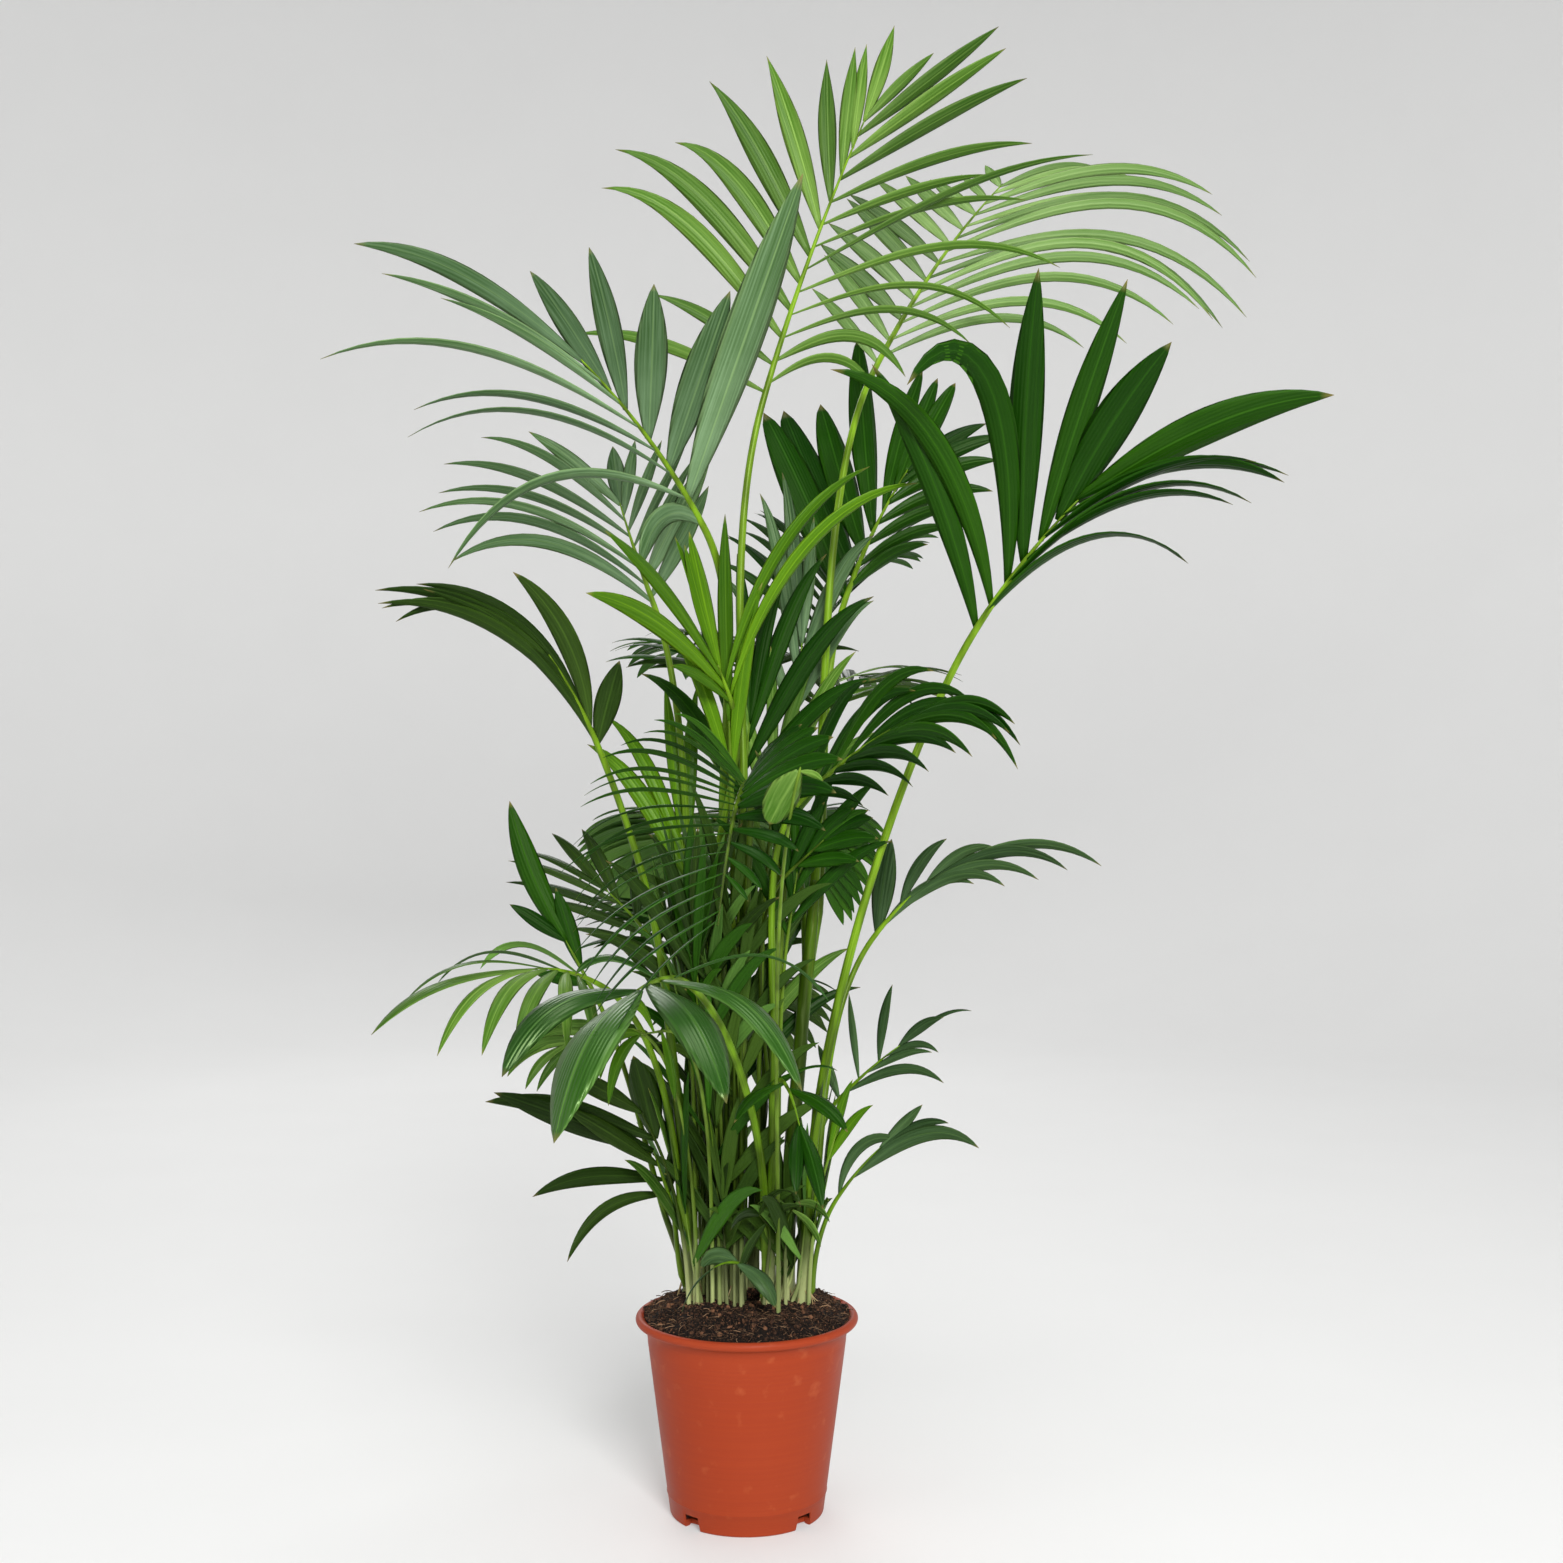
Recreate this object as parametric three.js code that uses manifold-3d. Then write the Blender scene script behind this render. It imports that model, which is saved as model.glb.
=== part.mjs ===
// Potted kentia palm, about 1.6 m tall, in a 24 cm plastic nursery pot.
//
// Frame: millimetres, +Z up, +X to the right and -Y towards the viewer, with the
// origin at the middle of the pot's flat underside.
//
// A kentia is sold as a clump of seedlings. Each one is a slim cane, and its
// fronds leave it on long stalks. A frond is a stalk and a blade: the blade is a
// rib that carries two rows of leaflets, each a thin pleated strip.
import * as THREE from 'three';
import { mergeVertices } from 'three/addons/utils/BufferGeometryUtils.js';
import Module from 'manifold-3d';

const wasm = await Module();
wasm.setup();

// Clear gap between pieces that touch on the plant.
const GAP = 0.3;

// Pot
const POT = {
  height: 212,
  rimRadius: 120,
  rimDepth: 9.5,
  neckRadius: 107,
  coveDepth: 10,
  footRadius: 83,
  edge: 2,
  bevel: 3,
  wall: 3,
  floor: 4,
  padRadius: 32,
  padHeight: 3,
  footHeight: 15,
  footWidth: 7,
  notches: 4,
  notchAngle: 15,
  notchDepth: 15,
  notchReach: 5.5,
  firstNotch: -43,
  segments: 36,
};

// Compost, filled to the rim and heaped round the canes.
const SOIL = { edge: 204, crown: 221, flatRadius: 80, shoulderRadius: 94, shoulder: 215 };

// Canes: [x, y] of the foot, [x, y, z] of the tip, and the radii at each end. They
// rise upright and lean towards the tip, each over a share of their length.
const CANE_SIDES = 7;
const CANE_STEPS = 6;
const CANE_FLARE = 1.25;
const CANE_UPRIGHT = 0.35;
const CANE_LEAN = 0.3;
const CANES = {
  cane_1: { foot: [-58, 0], tip: [-83, -45, 544], radii: [6.5, 4.6] },
  cane_2: { foot: [-44, 34], tip: [-61, 48, 588], radii: [7.0, 4.8] },
  cane_3: { foot: [-34, 8], tip: [-25, 0, 766], radii: [7.5, 5.2] },
  cane_4: { foot: [-10, -18], tip: [-2, -28, 659], radii: [7.5, 5.2] },
  cane_5: { foot: [4, 36], tip: [27, 32, 546], radii: [6.5, 4.8] },
  cane_6: { foot: [42, 20], tip: [74, 40, 677], radii: [9.0, 6.0] },
  cane_7: { foot: [60, -10], tip: [68, -32, 361], radii: [7.5, 5.2] },
  cane_8: { foot: [-66, 28], tip: [-94, 36, 320], radii: [4.5, 3.4] },
  cane_9: { foot: [22, -30], tip: [30, -60, 472], radii: [6.5, 4.6] },
};

// Fronds. cane and from say where the stalk leaves: at the cane's tip, or beside it
// at a height. neck and tip are the ends of the blade's rib, bow its sag at the
// middle, face the way the blade looks. Each row of leaflets has its number, the
// angle from the rib at the neck and at the tip, the length of its longest leaflet,
// the share of that at both ends, its droop and its turn about its own midrib.
const FRONDS = [
  {
    name: 'right_fan', cane: 'cane_7', from: 'tip', neck: [240, -60, 943], tip: [341, -120, 1074],
    bow: [-6, 0, 8], face: [-0.1, -1, 0.05], width: 40, stalk: [5.2, 3.8], reach: 0.2,
    left: { leaves: 5, angle: [50, 18], length: 325, start: 1, end: 0.62, droop: [0.5, 0.05] },
    right: {
      leaves: 5, angle: [40, 20], length: 255, start: 0.85, end: 1,
      droop: [0.55, 0.2], turn: [70, 10],
    },
  },
  {
    name: 'top', cane: 'cane_4', from: 'tip', neck: [18, 20, 1204], tip: [130, 60, 1512],
    bow: [-12, 0, 0], face: [-0.1, -1, 0.15], width: 31, stalk: [5.2, 3.6],
    left: {
      leaves: 10, angle: [60, -6], length: 278, start: 0.6, peak: 0.15, end: 0.42,
      droop: [0.65, 0.15], fold: 24,
    },
    right: {
      leaves: 10, angle: [58, 12], length: 350, end: 0.37,
      droop: [0.3, 0.3], turn: [80, 80], fold: -20,
    },
  },
  {
    name: 'top_right', cane: 'cane_6', from: 'tip', neck: [144, 110, 1256], tip: [314, 330, 1533],
    bow: [-8, 0, 22], face: [-0.2, -0.9, 0.4], width: 33, stalk: [5.4, 3.6],
    left: {
      leaves: 9, angle: [38, 58], length: 285, start: 0.9, peak: 0.2, end: 0.35,
      droop: [0.1, 0.1], fold: -22,
    },
    right: {
      leaves: 10, angle: [50, 60], length: 410, end: 0.5,
      droop: [0.8, 0.6], turn: [84, 84], fold: 10,
    },
  },
  {
    name: 'upper_left', cane: 'cane_3', from: 'tip', neck: [-44, -60, 1052], tip: [-163, -160, 1207],
    bow: [12, 0, 10], face: [0.1, -1, 0.3], width: 34, stalk: [5.2, 3.8],
    left: { leaves: 7, angle: [46, 14], length: 350, end: 0.85, droop: [0.75, 0.5], turn: [80, 55] },
    right: {
      leaves: 5, angle: [54, 5], length: 185, width: 40, start: 1.8, peak: 0.25, end: 0.75,
      droop: [0.15, 0.15],
    },
  },
  {
    name: 'centre_right', cane: 'cane_6', from: 640, neck: [109, 90, 990], tip: [184, 160, 1148],
    bow: [-8, 0, 6], face: [-0.1, -1, 0.2], width: 36, stalk: [4.8, 3.6],
    left: { leaves: 6, angle: [34, 12], length: 265, start: 0.85, end: 0.55, droop: [0.35, 0.1] },
    right: { leaves: 6, angle: [48, 20], length: 190, turn: [60, 40] },
  },
  {
    name: 'middle_left', cane: 'cane_2', from: 'tip', neck: [-106, 80, 984], tip: [-150, 150, 1108],
    bow: [-2, 0, 0], face: [0.1, -1, 0.3], width: 30, stalk: [4.8, 3.4],
    left: { leaves: 6, angle: [66, 48], length: 240, end: 0.7, turn: [66, 66] },
    right: { leaves: 5, angle: [46, -10], length: 130, width: 34, droop: [0.1, 0.1] },
  },
  {
    name: 'far_left', cane: 'cane_1', from: 'tip', neck: [-151, -80, 816], tip: [-185, -150, 877],
    bow: [4, 0, 6], face: [0.5, -0.8, 0.5], width: 36, stalk: [4.6, 3.4],
    left: { leaves: 4, angle: [14, 4], length: 330, end: 0.95, droop: [0.7, 0.8], turn: [40, 40], fold: 10 },
    right: { leaves: 4, angle: [44, 10], length: 200, start: 0.7, end: 0.9, droop: [0.7, 0.7], fold: 30 },
  },
  {
    name: 'bright_centre', cane: 'cane_3', from: 600, neck: [-15, -52, 868], tip: [-29, -78, 907],
    face: [0.4, -1, 0.4], width: 26, stalk: [4.2, 3.2],
    left: { leaves: 2, angle: [34, 26], length: 215, droop: [0.4, 0.4] },
    right: { leaves: 2, angle: [4, -6], length: 150, droop: [0.2, 0.2] },
  },
  {
    name: 'front_drooping', cane: 'cane_4', from: 552, neck: [3, -130, 785], tip: [-20, -350, 656],
    bow: [0, -20, 60], face: [0, -1, 1.2], width: 25, stalk: [4.4, 3.2],
    left: {
      leaves: 10, angle: [65, 30], length: 210, start: 0.7, end: 0.5,
      droop: [0.9, 0.9], turn: [38, 38],
    },
    right: { leaves: 8, angle: [70, 30], length: 135, width: 30, start: 0.6, droop: [0.7, 0.7] },
  },
  {
    name: 'front_right', cane: 'cane_9', from: 'tip', neck: [57, -80, 766], tip: [158, -200, 844],
    bow: [0, 0, 12], face: [0.2, -1, 0.6], width: 24, stalk: [4.4, 3.2],
    left: { leaves: 7, angle: [66, 0], length: 145, droop: [0.3, 0.3] },
    right: { leaves: 8, angle: [50, 4], length: 170, turn: [40, 40] },
  },
  {
    name: 'broad_front', cane: 'cane_9', from: 315, neck: [-68, -230, 596], tip: [-97, -300, 592],
    bow: [0, 0, 6], face: [0, -0.6, 1], width: 50, stalk: [4.4, 3.4],
    left: { leaves: 3, angle: [86, 14], length: 225, start: 1, droop: [1.2, 1.2] },
    right: { leaves: 3, angle: [80, 20], length: 190, start: 1, droop: [1.1, 1.1] },
  },
  {
    name: 'left_arching', cane: 'cane_1', from: 338, neck: [-150, -90, 575], tip: [-211, -140, 597],
    bow: [0, 0, 10], face: [0, -0.6, 1], width: 26, stalk: [4.0, 3.0],
    left: { leaves: 5, angle: [70, 20], length: 150, droop: [1.3, 1.3] },
    right: { leaves: 4, angle: [36, 0], length: 185, end: 1, droop: [1, 1], turn: [50, 50] },
  },
  {
    name: 'right_low_arching', cane: 'cane_7', from: 340, neck: [141, 40, 617], tip: [195, 30, 672],
    bow: [0, 0, 8], face: [-0.3, -1, 0.4], width: 24, stalk: [4.0, 3.0],
    left: { leaves: 4, angle: [40, 10], length: 80, end: 1, droop: [0.6, 0.6] },
    right: { leaves: 5, angle: [22, 14], length: 215, end: 1, droop: [0.75, 0.75], turn: [0, 50] },
  },
  {
    name: 'back_left', cane: 'cane_2', from: 543, neck: [-71, 200, 746], tip: [-110, 415, 640],
    bow: [0, 0, 60], face: [0, 0.3, 1], width: 30, stalk: [4.4, 3.2],
    left: { leaves: 8, angle: [70, 20], length: 170, droop: [0.7, 0.7] },
    right: { leaves: 8, angle: [70, 20], length: 190, droop: [0.7, 0.7] },
  },
  {
    name: 'back_right', cane: 'cane_6', from: 543, neck: [58, 210, 746], tip: [90, 430, 657],
    bow: [0, 0, 60], face: [0, 0.3, 1], width: 30, stalk: [4.4, 3.2],
    left: { leaves: 8, angle: [70, 20], length: 190, droop: [0.7, 0.7] },
    right: { leaves: 8, angle: [70, 20], length: 180, droop: [0.7, 0.7] },
  },
  {
    name: 'back_high', cane: 'cane_5', from: 'tip', neck: [73, 200, 953], tip: [153, 430, 1074],
    bow: [0, 0, 50], face: [0, 0, 1], width: 30, stalk: [4.8, 3.4],
    left: { leaves: 8, angle: [70, 20], length: 210, droop: [0.6, 0.6] },
    right: { leaves: 8, angle: [66, 20], length: 210, droop: [0.6, 0.6] },
  },
  {
    name: 'back_low', cane: 'cane_5', from: 432, neck: [7, 130, 552], tip: [-11, 300, 466],
    bow: [0, 0, 40], face: [0, 0.2, 1], width: 30, stalk: [4.0, 3.0],
    left: { leaves: 6, angle: [70, 20], length: 160, droop: [0.8, 0.8] },
    right: { leaves: 6, angle: [70, 20], length: 150, droop: [0.8, 0.8] },
  },
  {
    name: 'left_behind', cane: 'cane_2', from: 435, neck: [-95, 80, 591], tip: [-166, 150, 660],
    bow: [0, 0, 8], face: [0.2, -0.8, 0.6], width: 30, stalk: [4.0, 3.0],
    left: { leaves: 5, angle: [70, 10], length: 130, droop: [0.7, 0.7] },
    right: { leaves: 5, angle: [60, 10], length: 110, droop: [0.7, 0.7] },
  },
  {
    name: 'front_low', cane: 'cane_9', from: 375, neck: [32, -100, 477], tip: [55, -195, 448],
    bow: [0, 0, 30], face: [0, -0.6, 1], width: 30, stalk: [3.8, 3.0],
    left: { leaves: 4, angle: [70, 20], length: 120, droop: [0.8, 0.8] },
    right: { leaves: 4, angle: [70, 20], length: 110, droop: [0.8, 0.8] },
  },
  {
    name: 'left_upright', whole: true, cane: 'cane_8', from: 'tip',
    neck: [-171, 10, 565], tip: [-197, 10, 613],
    face: [0.2, -1, 0.2], width: 28, stalk: [3.2, 2.4],
    left: { leaves: 2, angle: [60, 40], length: 110, droop: [0.1, 0.1] },
    right: { leaves: 2, angle: [20, -8], length: 150, droop: [0.1, 0.1] },
  },
  {
    name: 'left_lowest', whole: true, cane: 'cane_8', from: 247,
    neck: [-84, -10, 341], tip: [-100, -20, 391],
    face: [0.3, -1, 0.6], width: 30, stalk: [3.2, 2.4],
    left: { leaves: 3, angle: [84, 30], length: 180 },
    right: { leaves: 2, angle: [50, 0], length: 60 },
  },
  {
    name: 'right_low', whole: true, cane: 'cane_7', from: 272,
    neck: [99, 30, 436], tip: [166, 10, 499],
    bow: [0, 0, 6], face: [-0.2, -1, 0.5], width: 24, stalk: [3.2, 2.4],
    left: { leaves: 4, angle: [60, 10], length: 75 },
    right: { leaves: 4, angle: [50, 10], length: 120 },
  },
  {
    name: 'right_lowest', whole: true, cane: 'cane_7', from: 240,
    neck: [98, -20, 341], tip: [143, -30, 396],
    bow: [0, 0, 6], face: [-0.2, -1, 0.5], width: 22, stalk: [3.0, 2.2],
    left: { leaves: 2, angle: [40, 10], length: 60, droop: [0.7, 0.7] },
    right: { leaves: 3, angle: [40, 10], length: 105, droop: [0.7, 0.7] },
  },
  {
    name: 'seedling_leaf', whole: true, cane: 'cane_9', from: 240,
    neck: [-8, -76, 284], tip: [-34, -104, 285],
    bow: [0, 0, 6], face: [0, -0.6, 1], width: 18, stalk: [2.4, 1.8],
    left: { leaves: 1, angle: [20, 20], length: 64, end: 1, droop: [1.2, 1.2] },
    right: { leaves: 1, angle: [150, 20], length: 66, end: 1, droop: [1.2, 1.2] },
  },
];

// What every frond shares, where its own entry says nothing else.
const COMMON = { fold: 12, start: 0.8, peak: 0.3, end: 0.55, droop: [0.5, 0.5], turn: [0, 0] };

// Stalks and ribs: their sections, and how far the stalk follows the cane at its
// foot and the rib at its neck, as shares of its length.
const STALK_SIDES = 5;
const STALK_STEPS = 8;
const RIB_SIDES = 4;
const RIB_STEPS = 3;
const RIB_TAPER = 0.42;
const NECK_OVERLAP = 1.5;
const REACH_FOOT = 0.35;
const REACH_NECK = 0.3;

// Details under this size are dropped where pieces are fused.
const WELD = 0.1;

// How far a stalk may be moved to keep clear of the other limbs: its foot round
// the cane, in degrees, and its bend outwards, in millimetres.
const LIMB_ROOM = 1;
const PATH_POINTS = 24;
const FOOT_TURNS = [0, 25, -25, 50, -50, 75, -75, 100, -100, 130, -130];
const BEND_PUSHES = [0, 6, 12, 18, 24, 32, 40];

// A stalk's foot is brought in to its cane in a few steps, over a few millimetres.
const SEAT_STEPS = 3;
const SEAT_SEARCH = 20;

// How often a height is halved in on along a cane.
const HALVINGS = 30;

// A row of leaflets: where it runs on the rib, and how far the right one is set
// back against the left, as a share of the space between two leaflets.
const ROW = { from: 0.02, to: 0.98, setBack: 0.35, fall: 1.5 };

// How much chance there is in each leaflet: degrees, then shares.
const SPREAD = { angle: 4, fold: 5, turn: 8, size: 0.06, width: 0.08, droop: 0.25 };

// Leaflets: the narrowest have this share of the full width, and the widths rise
// and fall along the row as the lengths do.
const LEAF_NARROWEST = 0.72;
const LEAF_WIDTHS = { start: 0.6, peak: 0.3, end: 0.5 };
const LEAF_STEPS = 12;
const LEAF_WIDEST = 0.42;
const LEAF_ROOT = 0.08;
const LEAF_POINT = 0.85;
const LEAF_SAG = 1.6;
const LEAF_MIN_THICK = 1.8;
const LEAF_THICK_SHARE = 1 / 95;

// Where along its twelve steps a leaflet has a section: more on a longer one.
const STATIONS = [
  { upTo: 115, steps: [0, 5] },
  { upTo: 190, steps: [0, 4, 8] },
  { upTo: Infinity, steps: [0, 3, 6, 9] },
];

// Lifts, in degrees, that are tried in turn on a leaflet that meets something.
const NUDGES = [0, 7, -7, 14, -14, 21, -21, 28, -28];

// Colours
const finish = {
  pot: { color: 0xb4512e, roughness: 0.5 },
  soil: { color: 0x2c211a, roughness: 0.95 },
  cane: { color: 0x7f9440, roughness: 0.5 },
  stalk: { color: 0x7aa03c, roughness: 0.45 },
  blade: { color: 0x2f6a2a, roughness: 0.42 },
};

const rad = THREE.MathUtils.degToRad;
const vec = (p) => new THREE.Vector3(...p);
const mix = (a, b, t) => a + (b - a) * t;

// A small repeatable source of chance, in -spread to spread: the Lehmer generator,
// whose first few draws are too alike from one seed to the next.
const CHANCE = { modulus: 2147483647, factor: 16807, seedStep: 7919, seedStart: 101, skipped: 3 };

function chance(seed) {
  let state = (seed * CHANCE.seedStep + CHANCE.seedStart) % CHANCE.modulus;
  const draw = (spread) => {
    state = (state * CHANCE.factor) % CHANCE.modulus;
    return ((state / CHANCE.modulus) * 2 - 1) * spread;
  };
  for (let i = 0; i < CHANCE.skipped; i += 1) {
    draw(1);
  }
  return draw;
}

// A closed surface through rings of points; a ring of one point is a tip.
function loft(rings) {
  const points = [];
  const faces = [];
  const firsts = rings.map((ring) => {
    const first = points.length;
    points.push(...ring);
    return first;
  });
  for (let k = 0; k + 1 < rings.length; k += 1) {
    const [a, b] = [firsts[k], firsts[k + 1]];
    const n = rings[k].length;
    const m = rings[k + 1].length;
    for (let i = 0; i < n; i += 1) {
      const j = (i + 1) % n;
      if (m === 1) {
        faces.push(a + i, a + j, b);
      } else {
        faces.push(a + i, a + j, b + j, a + i, b + j, b + i);
      }
    }
  }
  for (let i = 1; i + 1 < rings[0].length; i += 1) {
    faces.push(firsts[0], firsts[0] + i + 1, firsts[0] + i);
  }
  const end = firsts[rings.length - 1];
  for (let i = 1; i + 1 < rings[rings.length - 1].length; i += 1) {
    faces.push(end, end + i, end + i + 1);
  }
  const geometry = new THREE.BufferGeometry();
  const numbers = points.flatMap((point) => point.toArray());
  geometry.setAttribute('position', new THREE.Float32BufferAttribute(numbers, 3));
  geometry.setIndex(faces);
  return geometry;
}

function toSolid(geometry) {
  const vertProperties = new Float32Array(geometry.attributes.position.array);
  const triVerts = new Uint32Array(geometry.index.array);
  return new wasm.Manifold(new wasm.Mesh({ numProp: 3, vertProperties, triVerts }));
}

function toGeometry(solid) {
  const mesh = solid.getMesh();
  const geometry = new THREE.BufferGeometry();
  geometry.setAttribute('position', new THREE.BufferAttribute(new Float32Array(mesh.vertProperties), 3));
  geometry.setIndex(new THREE.BufferAttribute(new Uint32Array(mesh.triVerts), 1));
  return geometry;
}

// A round limb along a curve, tapering from one radius to the other.
function limb(curve, sides, steps, radiusAt) {
  const frames = curve.computeFrenetFrames(steps, false);
  const rings = [];
  for (let k = 0; k <= steps; k += 1) {
    const middle = curve.getPointAt(k / steps);
    const ring = [];
    for (let i = 0; i < sides; i += 1) {
      const angle = (i / sides) * 2 * Math.PI;
      ring.push(middle.clone()
        .addScaledVector(frames.normals[k], Math.cos(angle) * radiusAt(k / steps))
        .addScaledVector(frames.binormals[k], Math.sin(angle) * radiusAt(k / steps)));
    }
    rings.push(ring);
  }
  return loft(rings);
}

// The pot: a tapered wall on a foot ring with drain notches, under a rolled rim.
function potSolid() {
  const p = POT;
  const rimFoot = p.height - p.rimDepth;
  const floorTop = p.padHeight + p.floor;
  const underside = [
    [0, 0], [p.padRadius, 0], [p.padRadius + p.bevel, p.padHeight],
    [p.footRadius - p.footWidth - p.bevel, p.padHeight], [p.footRadius - p.footWidth, 0],
  ];
  const outside = [
    [p.footRadius - p.edge, 0], [p.footRadius, p.bevel], [p.neckRadius, rimFoot - p.coveDepth],
    [p.neckRadius + p.bevel, rimFoot - p.edge], [p.rimRadius - p.edge, rimFoot],
    [p.rimRadius, rimFoot + p.bevel], [p.rimRadius - p.edge, p.height],
  ];
  const inside = [
    [p.neckRadius + p.bevel, p.height], [p.neckRadius - p.wall, rimFoot - p.bevel],
    [p.footRadius + p.edge - p.wall, floorTop], [0, floorTop],
  ];
  const outline = [...underside, ...outside, ...inside].map(([r, z]) => new THREE.Vector2(r, z));
  const lathe = new THREE.LatheGeometry(outline, p.segments);
  lathe.rotateX(Math.PI / 2);
  const pot = weldedSolid(lathe);
  const notches = [];
  for (let i = 0; i < p.notches; i += 1) {
    const azimuth = rad(p.firstNotch + (i * 360) / p.notches - 90);
    const width = 2 * p.footRadius * Math.tan(rad(p.notchAngle / 2));
    const notch = new THREE.BoxGeometry(p.notchDepth, width, 2 * p.footHeight);
    notch.translate(p.footRadius + p.notchReach - p.notchDepth / 2, 0, 0);
    notch.rotateZ(azimuth);
    notches.push(weldedSolid(notch));
  }
  const floorRadius = p.footRadius - p.bevel;
  const floor = new THREE.CylinderGeometry(floorRadius, floorRadius, p.floor, p.segments);
  floor.rotateX(Math.PI / 2);
  floor.translate(0, 0, p.padHeight + p.floor / 2);
  const cut = pot.subtract(wasm.Manifold.union(notches));
  return cut.add(weldedSolid(floor));
}

function soilSolid() {
  const p = POT;
  const outline = [
    [0, p.padHeight + p.floor + GAP],
    [p.footRadius + p.edge - p.wall - GAP, p.padHeight + p.floor + GAP],
    [p.neckRadius - p.wall - GAP, p.height - p.rimDepth - p.bevel],
    [p.neckRadius - p.wall - GAP, SOIL.edge],
    [SOIL.shoulderRadius, SOIL.shoulder],
    [SOIL.flatRadius, SOIL.crown],
    [0, SOIL.crown],
  ];
  const lathe = new THREE.LatheGeometry(outline.map(([r, z]) => new THREE.Vector2(r, z)), p.segments);
  lathe.rotateX(Math.PI / 2);
  return weldedSolid(lathe);
}

function caneCurve({ foot, tip }) {
  const base = new THREE.Vector3(foot[0], foot[1], SOIL.crown + GAP);
  const top = vec(tip);
  const length = base.distanceTo(top);
  const upright = new THREE.Vector3(0, 0, length * CANE_UPRIGHT);
  const lean = top.clone().sub(base).multiplyScalar(CANE_LEAN);
  return new THREE.CubicBezierCurve3(base, base.clone().add(upright), top.clone().sub(lean), top);
}

// A cane, flared where it stands in the compost.
function caneRadius(cane, share) {
  return mix(cane.radii[0], cane.radii[1], share) * (share === 0 ? CANE_FLARE : 1);
}

// The rib that the leaflets grow on.
function ribCurve(frond) {
  const neck = vec(frond.neck);
  const tip = vec(frond.tip);
  const middle = neck.clone().lerp(tip, 0.5).add(vec(frond.bow ?? [0, 0, 0]));
  return new THREE.QuadraticBezierCurve3(neck, middle, tip);
}

// The way from the cane to the rib. turn and push move it round and away from
// other limbs, and inset brings its foot in to the cane.
function stalkCurve(frond, rib, turn, push, inset = 0) {
  const cane = canes[frond.cane];
  const neck = rib.getPoint(0);
  const onto = rib.getTangent(0);
  const atTip = frond.from === 'tip';
  const share = atTip ? 1 : caneShare(cane, frond.from);
  const middle = cane.curve.getPoint(share);
  const along = cane.curve.getTangent(share);
  const out = neck.clone().sub(middle).setZ(0).normalize();
  out.applyAxisAngle(new THREE.Vector3(0, 0, 1), turn);
  const start = middle.clone();
  if (atTip) {
    start.addScaledVector(along, GAP);
  } else {
    start.addScaledVector(out, caneRadius(cane, share) + frond.stalk[0] + 2 * GAP - inset);
  }
  const length = start.distanceTo(neck);
  const first = start.clone().addScaledVector(along, length * REACH_FOOT).addScaledVector(out, push);
  const last = neck.clone().addScaledVector(onto, -length * (frond.reach ?? REACH_NECK));
  return new THREE.CubicBezierCurve3(start, first, last, neck);
}

// Where along a cane a height is reached.
function caneShare(cane, height) {
  let low = 0;
  let high = 1;
  for (let i = 0; i < HALVINGS; i += 1) {
    const share = (low + high) / 2;
    if (cane.curve.getPoint(share).z < height) {
      low = share;
    } else {
      high = share;
    }
  }
  return (low + high) / 2;
}

// The distance from a point to a limb's path, and the limb's radius there.
function nearest(point, path) {
  const closest = new THREE.Vector3();
  const best = { distance: Infinity, radius: 0 };
  for (let i = 0; i + 1 < path.length; i += 1) {
    const part = new THREE.Line3(path[i].point, path[i + 1].point);
    part.closestPointToPoint(point, true, closest);
    const distance = closest.distanceTo(point);
    if (distance < best.distance) {
      best.distance = distance;
      best.radius = Math.max(path[i].radius, path[i + 1].radius);
    }
  }
  return best;
}

function pathOf(curve, radiusAt) {
  return curve.getPoints(PATH_POINTS).map((point, i) => ({ point, radius: radiusAt(i / PATH_POINTS) }));
}

// Whether a limb's path keeps clear of every limb that is already there.
function keepsClear(path, limbs, frond) {
  return limbs.every((other) => {
    const own = other.name === frond.cane;
    if (own && frond.from === 'tip') return true;
    const room = own ? GAP : LIMB_ROOM;
    return path.every((step) => {
      const gap = nearest(step.point, other.path);
      return gap.distance > step.radius + gap.radius + room;
    });
  });
}

// The leaflets of one frond: where each starts, its way, its face and its sizes.
function leaflets(frond, rib, draw) {
  const face = vec(frond.face);
  const list = [];
  for (const side of [-1, 1]) {
    const row = { ...COMMON, width: frond.width, ...(side < 0 ? frond.left : frond.right) };
    for (let i = 0; i < row.leaves; i += 1) {
      const gaps = Math.max(1, row.leaves - 1);
      const u = i / gaps;
      const shift = side > 0 && i < row.leaves - 1 ? ROW.setBack / gaps : 0;
      const t = mix(ROW.from, ROW.to, Math.min(1, u + shift));
      const along = rib.getTangent(t);
      const up = face.clone().addScaledVector(along, -face.dot(along)).normalize();
      const across = along.clone().cross(up).multiplyScalar(side);
      const angle = rad(mix(row.angle[0], row.angle[1], u) + draw(SPREAD.angle));
      const fold = rad(row.fold + draw(SPREAD.fold));
      const turn = rad(mix(row.turn[0], row.turn[1], u) + draw(SPREAD.turn)) * side;
      const size = row.length * lengthShare(u, row) * (1 + draw(SPREAD.size));
      const widthShare = mix(LEAF_NARROWEST, 1, lengthShare(u, LEAF_WIDTHS));
      const width = row.width * widthShare * (1 + draw(SPREAD.width));
      const droop = mix(row.droop[0], row.droop[1], u) * (1 + draw(SPREAD.droop));
      list.push({ base: rib.getPoint(t), along, up, across, angle, fold, turn, size, width, droop });
    }
  }
  return list;
}

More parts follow.
